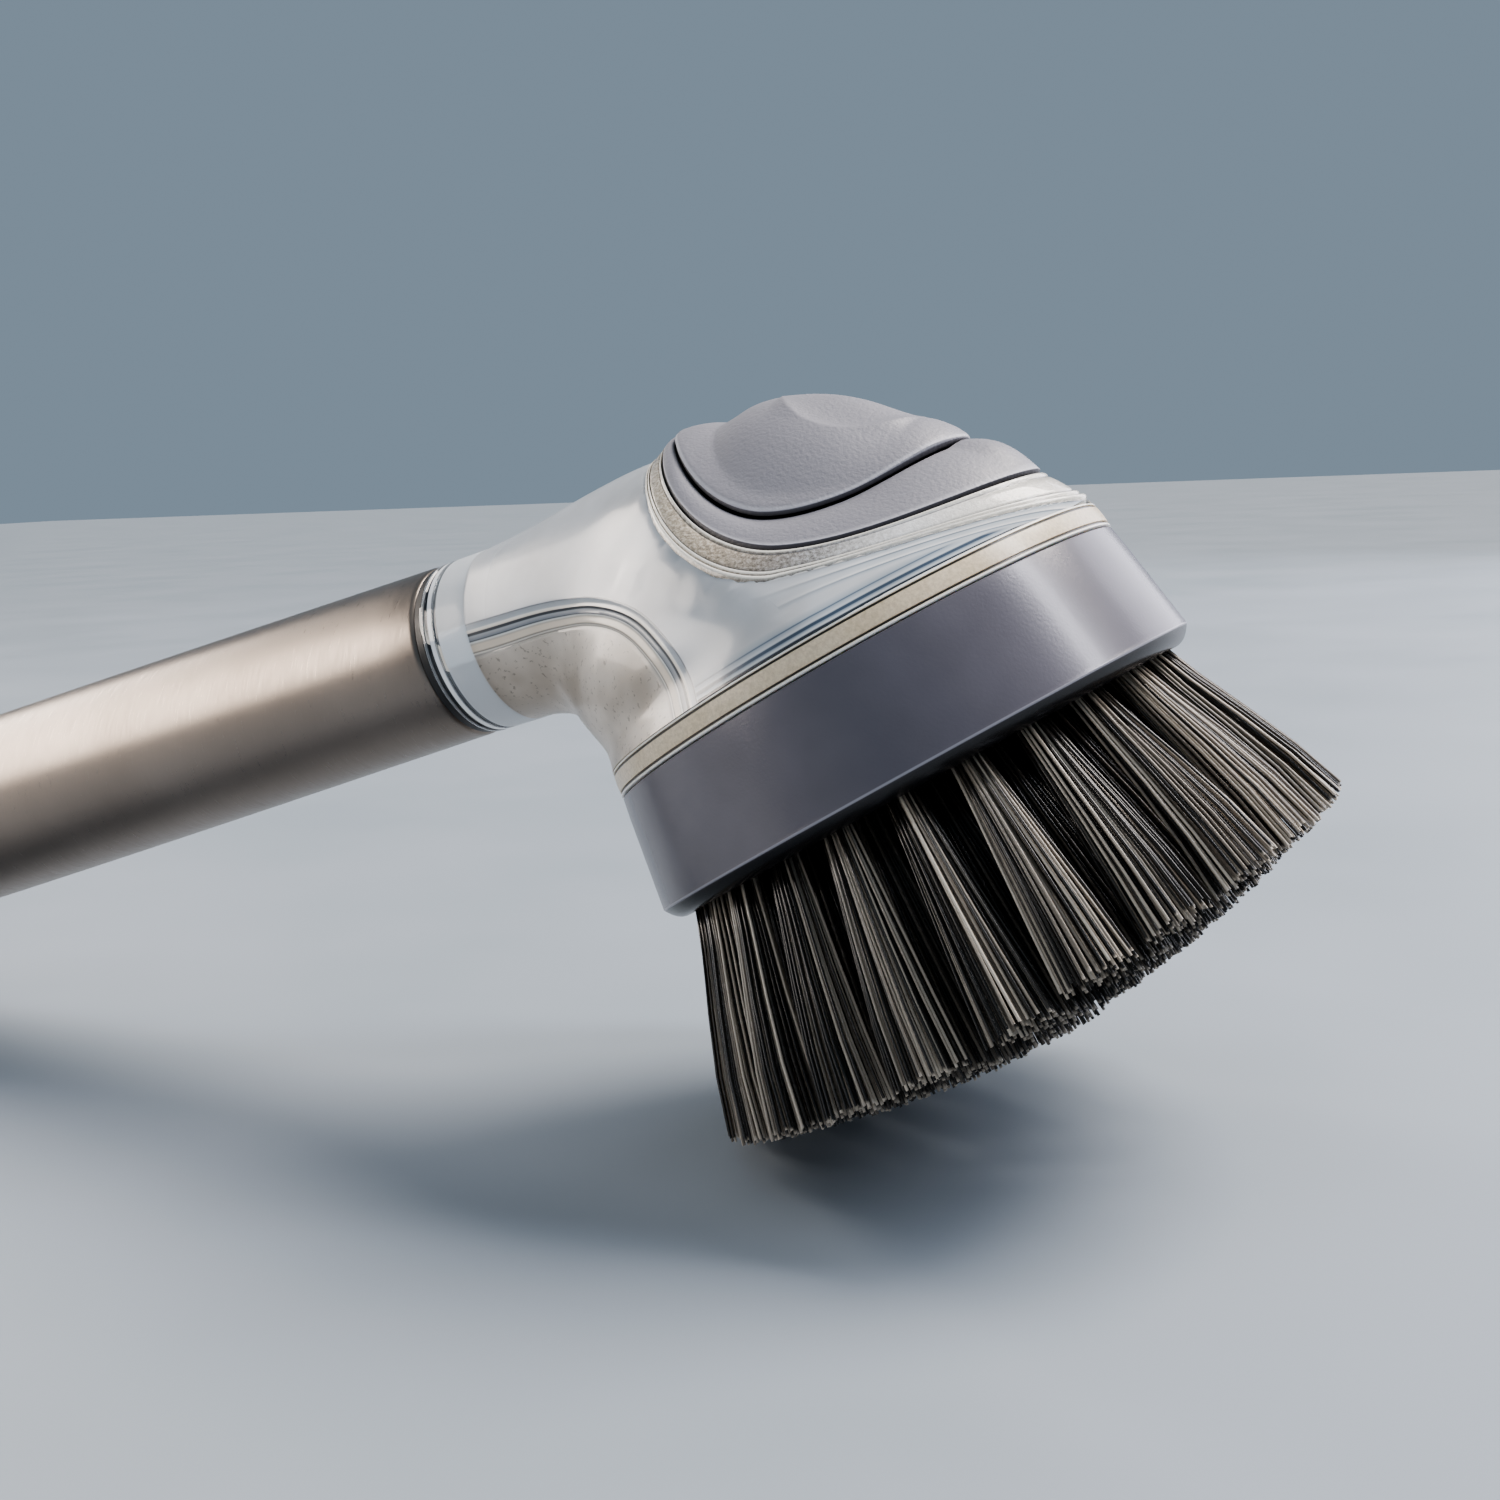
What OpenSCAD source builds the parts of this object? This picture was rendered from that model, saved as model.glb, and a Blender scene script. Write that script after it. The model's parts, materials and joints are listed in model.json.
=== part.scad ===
// Soap-dispensing dish wand. The head pieces are written in the head's own frame: +Z along the
// brush axis towards the button, the handle towards -X, the origin on the brush axis at the sharp
// lower edge of the brush holder. rest_pose() then leans the whole wand on a flat surface, on the
// rear edge of the bristles and on the handle's end.

/* [Brush holder] */
// Radius of the holder's sharp lower edge
rim_r = 33; // [30:0.5:36]
// Wall of the holder at its top
holder_t = 2.6; // [2:0.1:4]
// Height of the holder above its sharp edge
holder_h = 13.1; // [11.5:0.1:16]
// Depth of the rolled lip below the sharp edge
lip_depth = 1.7; // [1:0.1:2.5]
// Width of the lip between the sharp edge and the tuft field
lip_w = 3.5; // [2.5:0.1:5]
// Thickness of the holder's top web
web_t = 2; // [1.5:0.1:3]
// Thickness of the plate that holds the tufts
tuft_plate_t = 5.9; // [4:0.1:7]

/* [Bristles] */
// Free length of the outer bristles along the brush axis
bristle_h = 26.2; // [18:0.2:32]
// How much further the middle bristles reach than the outer ones
crown_drop = 7; // [2:0.5:10]
// How much the bristle field widens from its root to its tips
splay = 1.27; // [1.05:0.01:1.35]
// How much each tuft fans out from its root to its tips
tuft_fan = 2; // [1.2:0.1:2.2]
// Radius of one tuft at its root
tuft_r = 1.35; // [1.2:0.05:1.5]
// Thickness of one strand
strand_d = 1; // [0.6:0.1:1.1]
// Distance between neighbouring tufts of a ring
tuft_pitch = 7.2; // [6.8:0.1:9]
// Strands in a tuft of the outer ring
outer_strands = 8; // [5:1:8]
// Strands in a tuft of the other rings
inner_strands = 6; // [5:1:7]

/* [Clear body] */
// Height of the outlet plate's visible band
band_h = 3; // [2:0.1:4]
// Radius of the clear shell where it stands on the outlet plate
dome_r = 30.7; // [28:0.1:33]
// How much wider the band is at its foot, where the holder meets it
band_flare = 0.4; // [0:0.1:1]
// Height of the shell's top line above the outlet plate
crown_rise = 30.3; // [26:0.1:34]
// Wall of the clear shell
shell_t = 2.1; // [1.6:0.1:2.6]
// Depth of the step where the elbow meets the hood
crease_d = 1.1; // [0.4:0.1:1.6]
// Distance of the collar's mouth behind the brush axis
collar_x = 44.9; // [42:0.5:50]
// Height of the collar's mouth above the holder's sharp edge
collar_z = 40.4; // [38:0.2:42]
// Upward tilt of the handle from the brush plane
neck_tilt = 13.4; // [8:0.2:18]

/* [Button] */
// Forward tilt of the button
button_tilt = 36; // [30:1:40]
// Distance of the button frame's origin in front of the brush axis
button_x = 10; // [9:0.1:11]
// Height of the button frame's origin above the holder's sharp edge
button_z = 34; // [33.5:0.1:34.5]
// Travel of the button
press_travel = 2.2; // [1.5:0.1:2.4]
// Half length of the cap's brim
brim_half_l = 16.6; // [16:0.1:17]
// Half width of the cap's brim
brim_half_w = 16.5; // [16:0.1:17]
// Half length of the boot round the cap
boot_half_l = 21.1; // [20.5:0.1:21.6]
// Half width of the boot round the cap
boot_half_w = 20.3; // [19.8:0.1:21]
// Height of the thumb dome above the brim
thumb_h = 4; // [3:0.1:5]
// Thickness of the brim
brim_t = 1.2; // [1:0.1:1.5]
// Visible gap under the brim
brim_gap = 0.8; // [0.5:0.1:1]

/* [Handle] */
// Length of the handle from the collar's mouth to its end
handle_l = 160; // [130:1:180]
// Radius of the handle at the collar
collar_r = 10.8; // [10.4:0.1:11.4]
// Radius of the handle at its end
handle_end_r = 12.9; // [12:0.1:15]
// Wall of the steel sleeve
sleeve_t = 0.8; // [0.5:0.1:1]
// Wall of the soap reservoir
reservoir_t = 1.2; // [0.9:0.1:1.5]
// Length of the end cap outside the sleeve
cap_l = 14; // [13:0.5:20]
// Corner radius of the end cap
cap_corner_r = 6; // [4:0.5:7]
// Radius of the hanging hole
hang_r = 2.75; // [2:0.05:3.2]

/* [Hidden] */
$fn = 96;

// Clearances
turn_gap = 0.1;
slide_gap = 0.05;
snug_gap = 0.02;
soft_gap = 0.3;
overrun = 1;

// Frames
module head_to_button() {
    translate([button_x, 0, button_z])
        rotate([0, button_tilt, 0]) children();
}
module head_to_handle() {
    translate([-collar_x, 0, collar_z])
        rotate([0, neck_tilt - 90, 0]) children();
}
module head_to_pump() {
    head_to_button() translate([pump_u, 0, 0]) children();
}

// Holder and tuft plate
slice_t = 0.6;
holder_top_r = dome_r + band_flare;
field_r = rim_r - lip_w;
tuft_plate_z = slice_t;
chamber_z = tuft_plate_z + tuft_plate_t;
web_z = holder_h - web_t;
plate_z = holder_h + turn_gap;
shell_z = plate_z + band_h;
tuft_rings = 4;
ring_share = [1, 0.77, 0.545, 0.325];
function tuft_ring_r(i) = (field_r - 2 * tuft_r / 3 - strand_d) * ring_share[i];
strand_out = tuft_r - strand_d / 6;
tip_r = tuft_ring_r(0) * splay + strand_out * tuft_fan + strand_d / 2;
function tip_z(r) = -bristle_h - crown_drop * (1 - pow(r / tip_r, 2));

// The end point of the strand that reaches furthest back, and the end cap's lower corner
floor_bite = 0.5;
handle_dir = [-cos(neck_tilt), sin(neck_tilt)];
handle_up = [sin(neck_tilt), cos(neck_tilt)];
corner_at = [-collar_x, collar_z] + (handle_l - cap_corner_r) * handle_dir
    - (handle_end_r - cap_corner_r) * handle_up;
tip_at = [-tip_r, tip_z(tip_r - strand_d / 2)];
reach = corner_at - tip_at;
lean = atan2(reach[1], -reach[0]) - asin((cap_corner_r + floor_bite) / norm(reach));
floor_level = tip_at[0] * sin(lean) + tip_at[1] * cos(lean) + floor_bite;
end_centre = [-collar_x, collar_z] + (handle_l - cap_corner_r) * handle_dir
    + (handle_end_r - cap_corner_r) * handle_up;
rear_reach = cap_corner_r - end_centre[0] * cos(lean) + end_centre[1] * sin(lean);
front_reach = tip_r * cos(lean) - tip_at[1] * sin(lean);
centre_shift = (rear_reach - front_reach) / 2;

module rest_pose() {
    translate([centre_shift, 0, -floor_level])
        rotate([0, -lean, 0]) children();
}

// A closed skin over rings of points: capped at both ends, or joined end to end as a loop
module skin(rings, loop = false) {
    n = len(rings[0]);
    m = len(rings);
    mean = function (ring) [for (axis = [0:2]) sum([for (p = ring) p[axis]]) / n];
    points = concat([for (ring = rings) each ring], loop ? [] : [mean(rings[0]), mean(rings[m - 1])]);
    walls = [for (i = [0:(loop ? m - 1 : m - 2)], j = [0:n - 1])
        let (k = (i + 1) % m, l = (j + 1) % n)
        each [[i * n + j, i * n + l, k * n + j], [i * n + l, k * n + l, k * n + j]]];
    caps = loop ? [] : [for (j = [0:n - 1]) let (l = (j + 1) % n)
        each [[m * n, l, j], [m * n + 1, (m - 1) * n + j, (m - 1) * n + l]]];
    polyhedron(points, concat(walls, caps), convexity = 8);
}
function sum(list, i = 0) = i >= len(list) ? 0 : list[i] + sum(list, i + 1);
function sgn_pow(x, e) = sign(x) * pow(abs(x), e);
function smooth_at(list, t) =
    let (last = len(list) - 1, i = min(floor(t * last), last - 1), f = t * last - i)
    let (a = list[max(i - 1, 0)], b = list[i], c = list[i + 1], d = list[min(i + 2, last)])
    b + f * (c - a) / 2 + f * f * (a - 5 * b / 2 + 2 * c - d / 2)
        + f * f * f * ((3 * b - a - 3 * c + d) / 2);

// Outlines in the button's frame: an egg that is wider behind, bent down at its sides
around = 36;
brim_half = [brim_half_l, brim_half_w];
boot_half = [boot_half_l, boot_half_w];
brim_place = [-3.2, 3.1];
brim_drop = 9;
boot_place = [0.5, 0.7];
boot_drop = 9.1;
egg_power_share = 1.08;
brim_taper_share = 0.02;
boot_taper_share = 0.1;
function egg(a, half, u0, taper) = [u0 + half[0] * sgn_pow(cos(a), egg_power_share),
    half[1] * sgn_pow(sin(a), egg_power_share) * (1 - taper * cos(a))];
function brim_ring(f, lift, spread = 0) = [for (j = [0:around - 1])
    let (p = egg(360 * j / around, f * brim_half + [spread, spread], brim_place[0], brim_taper_share))
    [p[0], p[1], brim_place[1] - brim_drop * pow(p[1] / brim_half_w, 2) + lift]];
function boot_ring(lift, spread = 0) = [for (j = [0:around - 1])
    let (p = egg(360 * j / around, boot_half + [spread, spread], boot_place[0], boot_taper_share))
    [p[0], p[1], boot_place[1] - boot_drop * pow(p[1] / boot_half_w, 2) + lift]];
function round_ring(r, h) = [for (j = [0:around - 1])
    [pump_u + r * cos(360 * j / around), r * sin(360 * j / around), h]];

// The pump under the button
pump_u = brim_place[0];
land_h = 1.4;
land_r = 6.5;
core_t = 1.2;
core_r = land_r - soft_gap;
core_z = land_h - core_t;
boss_r = 4;
boss_h = 1.4;
rod_r = 2.5;
rod_top = core_z + core_t / 2;
cover_t = 1.2;
cover_top = core_z - boss_h - press_travel - soft_gap;
cover_z = cover_top - cover_t;
piston_top = cover_z - slide_gap;
piston_t = 3.2;
piston_z = piston_top - piston_t;
chamber_r = 6;
piston_r = chamber_r - slide_gap;
cylinder_t = 1.6;
cylinder_r = chamber_r + cylinder_t;
spring_h = 7.2;
chamber_floor = piston_z - spring_h;
cylinder_z = chamber_floor - cylinder_t;
seal_r = 0.8;
piston_seal_r = chamber_r - slide_gap / 2 - seal_r;
well_depth = brim_gap + press_travel + soft_gap;
boot_t = 1.5;
boot_hole_r = cylinder_r + soft_gap;
boot_floor = land_h - well_depth;
boot_land_r = boot_hole_r + cylinder_t + soft_gap;
flange_top = boot_floor - boot_t;
moat_gap = 0.45;

// The clear body: a fan of sections that turns from the collar down to the outlet plate. Each
// section is an ellipse from the inner elbow to the top line, stepped in below the hood's edge and
// fuller or slimmer above its middle.
collar_depth = 7.5;
stop_t = 1.2;
throat_r = collar_r - slide_gap;
collar_axis_at = [-collar_x, collar_z] - collar_depth * handle_dir;
elbow_share = [0, 0.13, 0.33, 0.48, 0.6, 0.72, 0.87, 1];
top_x_share = [-0.873, -0.355, 0, 0.326, 0.664, 0.928, 1];
top_z_share = [1.05, 1, 0.865, 0.627, 0.363, 0.135, 0];
width_share = [0.39, 0.45, 0.57, 0.73, 0.84, 0.9, 1];
hood_fullness_share = [1, 1, 1, 0.55, 0.83, 1.6, 1.4, 1];
hood_edge_angles = [90, 98.4, 90.9, 90, 90, 84.8, 80, 78.3];
sections = 15;
function elbow_at(t, wall) =
    let (start = collar_axis_at - (throat_r - wall) * handle_up, end = [wall - dome_r, shell_z])
    let (corner = [end[0], start[1] - (end[0] - start[0]) * tan(neck_tilt)])
    (1 - t) * (1 - t) * start + 2 * t * (1 - t) * corner + t * t * end;
function section(t, wall) =
    let (tops = concat([collar_axis_at + throat_r * handle_up],
        [for (i = [0:len(top_x_share) - 1])
            [top_x_share[i] * dome_r, shell_z + top_z_share[i] * crown_rise]]))
    let (widths = concat([throat_r], [for (w = width_share) w * dome_r]))
    let (low = elbow_at(smooth_at(elbow_share, t), wall), top_edge = smooth_at(tops, t))
    let (high = t > 0.999 ? [dome_r - wall, shell_z]
        : top_edge - wall * (top_edge - low) / norm(top_edge - low))
    let (width = smooth_at(widths, t) - wall, edge = smooth_at(hood_edge_angles, t))
    let (fullness = smooth_at(hood_fullness_share, t))
    let (step = crease_d * sin(180 * min(t * 1.08, 1)))
    [for (j = [0:around - 1])
        let (a = 360 * (j + 0.5) / around, up = a < 180 ? a : 360 - a)
        let (along = low + (high - low) * (1 - cos(up)) / 2)
        let (inset = up < edge ? step * pow(up / edge, 2) : 0)
        let (reach = up > 90 ? pow(sin(up), fullness) : sin(up))
        [along[0], (a < 180 ? 1 : -1) * (width * reach - inset), along[1]]];

module ring(r_out, r_in, z_low, z_high) {
    translate([0, 0, z_low]) difference() {
        cylinder(r = r_out, h = z_high - z_low);
        translate([0, 0, -overrun]) cylinder(r = r_in, h = z_high - z_low + 2 * overrun);
    }
}
module torus(r_major, r_minor, z) {
    translate([0, 0, z]) rotate_extrude() translate([r_major, 0]) circle(r = r_minor, $fn = 32);
}
// A piece of a ring, for a bayonet lug or the slot that lets one in
module sector(r_out, r_in, z_low, z_high, width_angle, at_angle) {
    rotate([0, 0, at_angle - width_angle / 2]) translate([0, 0, z_low])
        rotate_extrude(angle = width_angle) translate([r_in, 0]) square([r_out - r_in, z_high - z_low]);
}

// The handle's bayonet: lugs on the reservoir's neck turn under a ledge in the clear collar
neck_r = 8.6;
neck_bore_r = 6.6;
lip_gasket_t = 0.9;
collar_bore_r = neck_r + turn_gap;
neck_depth = collar_depth - 0.5 * lip_gasket_t;
neck_lug_h = 0.9;
neck_lug_t = 1.4;
neck_ledge_t = 0.85;
neck_lug_z = -lip_gasket_t - neck_ledge_t - turn_gap - neck_lug_t;
neck_lugs = 2;
neck_lug_angle = 36;
neck_slot_angle = 44;
handle_turn = 60;
neck_seal_z = -5.5;
neck_seal_r = 0.7;
neck_seal_at = neck_r + slide_gap - neck_seal_r;

// The brush's bayonet: lugs on the outlet plate's spigot lie under the holder's web
spigot_r = 12.1;
spigot_t = 2.5;
spigot_depth = 5;
brush_lugs = 3;
brush_lug_h = 1.6;
brush_lug_t = 1.7;
brush_lug_angle = 36;
brush_slot_angle = 44;
brush_turn = 60;
brush_lug_z = web_z - turn_gap - brush_lug_t;

// The outlet and its valve
floor_t = 2.4;
floor_top = plate_z + floor_t;
port_r = 1.8;
spout_r = 3;
socket_t = 1.6;
socket_h = 1;
valve_flange_r = 6.5;
valve_flange_t = 1;
valve_dome_r = 3.6;
valve_dome_t = 0.8;
valve_slit_w = 0.3;
retainer_t = 1.4;

module clear_body() {
    color("LightSteelBlue", 0.6) rest_pose() difference() {
        union() {
            skin(concat([for (i = [0:sections]) section(i / sections, shell_t)],
                [for (i = [0:sections]) section(1 - i / sections, 0)]), loop = true);
            head_to_handle() translate([0, 0, -collar_depth - stop_t])
                cylinder(r = collar_r, h = collar_depth + stop_t - lip_gasket_t);
        }
        head_to_handle() {
            translate([0, 0, -collar_depth]) cylinder(r = collar_bore_r, h = collar_depth);
            translate([0, 0, -collar_depth - 2 * stop_t]) cylinder(r = neck_bore_r, h = collar_depth);
            translate([0, 0, neck_lug_z - turn_gap])
                cylinder(r = neck_r + neck_lug_h + turn_gap, h = neck_lug_t + 2 * turn_gap);
            for (i = [0:neck_lugs - 1])
                sector(neck_r + neck_lug_h + 2 * turn_gap, neck_bore_r, neck_lug_z + neck_lug_t / 2, 0,
                    neck_slot_angle, 90 + handle_turn + i * 360 / neck_lugs);
        }
        head_to_button() translate([0, 0, -boot_half[0] / 2]) linear_extrude(boot_half[0])
            polygon([for (p = boot_ring(0, slide_gap)) [p[0], p[1]]]);
    }
}

module outlet_plate() {
    color("Cornsilk", 0.7) rest_pose() difference() {
        union() {
            rotate_extrude() polygon([
                [0, plate_z], [holder_top_r, plate_z], [dome_r, shell_z],
                [dome_r - shell_t, shell_z], [dome_r - shell_t, floor_top], [0, floor_top]
            ]);
            translate([0, 0, floor_top]) cylinder(r = spout_r + socket_t, h = socket_h);
            ring(spigot_r, spigot_r - spigot_t, plate_z - spigot_depth, plate_z + overrun);
            for (i = [0:brush_lugs - 1])
                sector(spigot_r + brush_lug_h, spigot_r - spigot_t / 2, brush_lug_z,
                    brush_lug_z + brush_lug_t, brush_lug_angle, i * 360 / brush_lugs);
        }
        translate([0, 0, floor_top]) cylinder(r = spout_r + snug_gap, h = socket_h + overrun);
        translate([0, 0, plate_z - overrun]) cylinder(r = port_r, h = floor_t + 2 * overrun);
    }
}

module slit_valve() {
    seat_z = plate_z - valve_flange_t;
    color("Gainsboro") rest_pose() difference() {
        union() {
            ring(valve_flange_r, valve_dome_r - valve_dome_t, seat_z, plate_z);
            translate([0, 0, seat_z]) rotate_extrude() intersection() {
                difference() {
                    circle(r = valve_dome_r);
                    circle(r = valve_dome_r - valve_dome_t);
                }
                translate([0, -valve_dome_r]) square([valve_dome_r, valve_dome_r]);
            }
        }
        for (a = [0, 90])
            rotate([0, 0, a]) translate([-port_r, -valve_slit_w / 2, seat_z - valve_dome_r - overrun])
                cube([2 * port_r, valve_slit_w, valve_dome_r + overrun]);
    }
}

module valve_retainer() {
    top = plate_z - valve_flange_t;
    color("WhiteSmoke") rest_pose()
        ring(spigot_r - spigot_t - snug_gap, valve_dome_r + snug_gap, top - retainer_t, top);
}

module button_boot() {
    top_lift = -brim_t - brim_gap;
    well_lift = -brim_t - well_depth;
    color([0.58, 0.58, 0.63]) rest_pose() head_to_button() skin([
        round_ring(boot_hole_r, flange_top),
        round_ring(boot_hole_r, boot_floor),
        round_ring(boot_land_r, boot_floor),
        brim_ring(1, well_lift, moat_gap),
        brim_ring(1, top_lift, moat_gap),
        boot_ring(0),
        boot_ring(-boot_t),
        brim_ring(1, well_lift - boot_t, moat_gap),
        round_ring(boot_land_r, flange_top)
    ], loop = true);
}

inlet_r = 0.8;
inlet_u = -4.6;
flap_r = 1.25;
flap_t = 0.8;
cylinder_flange_t = 1.2;
module pump_cylinder() {
    color("White") rest_pose() difference() {
        union() {
            head_to_pump() {
                translate([0, 0, cylinder_z]) cylinder(r = cylinder_r, h = flange_top - cylinder_z);
                translate([0, 0, flange_top - cylinder_flange_t])
                    cylinder(r = boot_land_r - soft_gap, h = cylinder_flange_t);
            }
            translate([0, 0, floor_top]) cylinder(r = spout_r, h = spout_h);
        }
        head_to_pump() {
            translate([0, 0, chamber_floor]) cylinder(r = chamber_r, h = flange_top - chamber_floor + overrun);
            translate([inlet_u, 0, cylinder_z - overrun]) cylinder(r = inlet_r, h = cylinder_t + 2 * overrun);
        }
        translate([0, 0, floor_top - overrun]) cylinder(r = port_r, h = spout_h + overrun);
    }
}
// The spout ends inside the pump chamber's floor
spout_h = button_z + (chamber_floor + button_x * sin(button_tilt)) / cos(button_tilt)
    + spout_r * tan(button_tilt) - floor_top;

module pump_cover() {
    color("WhiteSmoke") rest_pose() head_to_pump() difference() {
        ring(chamber_r - snug_gap, rod_r + slide_gap, cover_z, cover_top);
        translate([0, 0, cover_top - rod_seal_t]) cylinder(r = rod_seal_r, h = rod_seal_t + overrun);
    }
}
rod_seal_r = 3.7;
rod_seal_t = 0.7;
module rod_seal() {
    color("DimGray") rest_pose() head_to_pump()
        ring(rod_seal_r - snug_gap, rod_r + slide_gap, cover_top - rod_seal_t, cover_top);
}

module inlet_flap() {
    color("Gainsboro") rest_pose() head_to_pump() translate([inlet_u, 0, chamber_floor])
        cylinder(r = flap_r, h = flap_t, $fn = 32);
}

// The return spring is one unbroken tube of curls between the chamber's floor and the piston
curls = 4;
curl_steps = 8;
wire_r = 0.4;
coil_r = 2.8;
wire_sides = 6;
coil_rise = spring_h - 2 * wire_r - 2 * snug_gap;
function coil_at(i) = let (a = 360 * i / curl_steps)
    [coil_r * cos(a), coil_r * sin(a), chamber_floor + snug_gap + wire_r + coil_rise * i / (curls * curl_steps)];
function coil_points() = [for (i = [0:curls * curl_steps]) coil_at(i)];
function coil_gap() = min([for (i = [0:len(coil_points()) - 1], j = [i + curl_steps / 2:1:len(coil_points()) - 1])
    norm(coil_at(i) - coil_at(j))]) - 2 * wire_r;
module return_spring() {
    echo(least_spring_gap = coil_gap());
    color("Silver") rest_pose() head_to_pump() skin([for (i = [0:curls * curl_steps])
        let (a = 360 * i / curl_steps)
        [for (j = [0:wire_sides - 1]) let (b = 360 * j / wire_sides)
            coil_at(i) + wire_r * [cos(b) * cos(a), cos(b) * sin(a), sin(b)]]]);
}

// The cap is a brim bent down at its sides, with a thumb dome that falls steeply behind
dome_centre = -1;
dome_reach = [17, 13.4, 15];
dome_power_share = 0.95;
dish_u = 6;
dish_half = [7, 9];
dish_depth = 0.6;
function dome_lift(p) =
    let (x = (p[0] - dome_centre) / (p[0] > dome_centre ? dome_reach[0] : dome_reach[1]))
    let (fall = max(1 - x * x - pow(p[1] / dome_reach[2], 2), 0))
    let (dish = max(1 - pow((p[0] - dish_u) / dish_half[0], 2) - pow(p[1] / dish_half[1], 2), 0))
    thumb_h * pow(fall, dome_power_share) - dish_depth * dish;
function cap_top(f) = [for (p = brim_ring(f, 0)) [p[0], p[1], p[2] + dome_lift(p)]];
cap_rings_share = [1, 0.94, 0.86, 0.76, 0.64, 0.5, 0.34, 0.16];
cap_under_share = [0.94, 0.62];
module button_cap() {
    color([0.62, 0.62, 0.68]) rest_pose() head_to_button() skin(concat(
        [for (f = backwards(cap_rings_share)) cap_top(f)],
        [brim_ring(1, -0.8 * brim_t), brim_ring(cap_under_share[0], -brim_t)],
        [[for (p = cap_top(cap_under_share[1])) p - [0, 0, brim_t]]],
        [round_ring(land_r, land_h), round_ring(land_r / 2, land_h)]
    ));
}

module button_core() {
    color("LightGray") rest_pose() head_to_pump() difference() {
        union() {
            translate([0, 0, core_z]) cylinder(r = core_r, h = core_t);
            translate([0, 0, core_z - boss_h]) cylinder(r = boss_r, h = boss_h + overrun / 2);
        }
        translate([0, 0, core_z - boss_h - overrun])
            cylinder(r = rod_r + snug_gap, h = rod_top - core_z + boss_h + overrun);
    }
}

module pump_piston() {
    color("White") rest_pose() head_to_pump() difference() {
        union() {
            translate([0, 0, piston_z]) cylinder(r = piston_r, h = piston_t);
            translate([0, 0, piston_z]) cylinder(r = rod_r, h = rod_top - piston_z);
        }
        torus(piston_seal_r, seal_r + snug_gap, piston_z + piston_t / 2);
    }
}
module piston_seal() {
    color("DimGray") rest_pose() head_to_pump()
        torus(piston_seal_r, seal_r, piston_z + piston_t / 2);
}

// The holder turns off with its bristles
gasket_r = 20;
gasket_minor_r = 0.7;
module brush_holder() {
    color([0.42, 0.42, 0.47]) rest_pose() difference() {
        rotate_extrude() polygon([
            [0, web_z], [0, holder_h], [holder_top_r - soft_gap, holder_h],
            [holder_top_r, holder_h - soft_gap], [rim_r, 0],
            [rim_r - 0.05 * lip_depth, -0.35 * lip_depth], [rim_r - 0.3 * lip_depth, -0.75 * lip_depth],
            [rim_r - 0.8 * lip_depth, -lip_depth],
            [rim_r - lip_w + 0.3 * lip_depth, -lip_depth],
            [field_r, -0.7 * lip_depth],
            [field_r, chamber_z], [holder_top_r - holder_t, chamber_z + web_t / 2],
            [holder_top_r - holder_t, web_z]
        ]);
        translate([0, 0, web_z - overrun])
            cylinder(r = spigot_r + turn_gap, h = web_t + 2 * overrun);
        for (i = [0:brush_lugs - 1])
            sector(spigot_r + brush_lug_h + 2 * turn_gap, spigot_r, web_z - overrun, holder_h + overrun,
                brush_slot_angle, brush_turn + i * 360 / brush_lugs);
        ring(gasket_r + gasket_minor_r + snug_gap, gasket_r - gasket_minor_r - snug_gap,
            holder_h - 2 * gasket_minor_r + turn_gap / 2, holder_h + overrun);
    }
}
module holder_gasket() {
    color("DimGray") rest_pose() torus(gasket_r, gasket_minor_r, holder_h - gasket_minor_r + turn_gap / 2);
}

// The tufts stand in rings of blind holes and each is folded over a small wire anchor
tuft_ease = 0.15;
hole_r = tuft_r + tuft_ease;
hole_depth = 4;
soap_hole_r = 2.5;
anchor_size = [2.2, 0.4, 1.6];
function tufts(i) = 2 * round(PI * tuft_ring_r(i) / tuft_pitch);
function tuft_angle(i, j) = 360 * (j + (i % 2 == 0 ? 0 : 0.5)) / tufts(i);
module at_tufts(i) {
    for (j = [0:tufts(i) - 1])
        rotate([0, 0, tuft_angle(i, j)]) translate([tuft_ring_r(i), 0, tuft_plate_z]) children();
}
module tuft_plate() {
    color([0.2, 0.2, 0.21]) rest_pose() difference() {
        translate([0, 0, tuft_plate_z]) cylinder(r = field_r - snug_gap, h = tuft_plate_t);
        translate([0, 0, tuft_plate_z - overrun]) cylinder(r = soap_hole_r, h = tuft_plate_t + 2 * overrun);
        for (i = [0:tuft_rings - 1])
            at_tufts(i) translate([0, 0, -overrun]) cylinder(r = hole_r, h = hole_depth + overrun, $fn = 24);
    }
}
module tuft_anchors() {
    color("Silver") rest_pose() for (i = [0:tuft_rings - 1])
        at_tufts(i) translate([0, 0, hole_depth - anchor_size[2] / 2]) cube(anchor_size, center = true);
}

// A strand is a three-sided rod from the root slice to the domed tip surface
strand_root = 0.1;
function strands(i) = i == 0 ? outer_strands : inner_strands;
function strand_root_at(i, k) =
    let (out = k == 0 ? 0 : strand_out, a = 360 * k / (strands(i) - 1))
    [out * cos(a), out * sin(a)];
function turned(p, a) = [p[0] * cos(a) - p[1] * sin(a), p[0] * sin(a) + p[1] * cos(a)];
function strand_ends(i, j, k) =
    let (root = strand_root_at(i, k), r = tuft_ring_r(i), a = tuft_angle(i, j))
    let (low = turned([r, 0] + root, a), high = turned([r * splay, 0] + tuft_fan * root, a))
    [concat(low, [strand_root]), concat(high, [tip_z(norm(high))])];
module strand(i, j, k) {
    ends = strand_ends(i, j, k);
    a = tuft_angle(i, j);
    skin([for (p = ends)
        [for (c = [0:2]) p + strand_d / 2 * [cos(a + 120 * c), sin(a + 120 * c), 0]]]);
}
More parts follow.
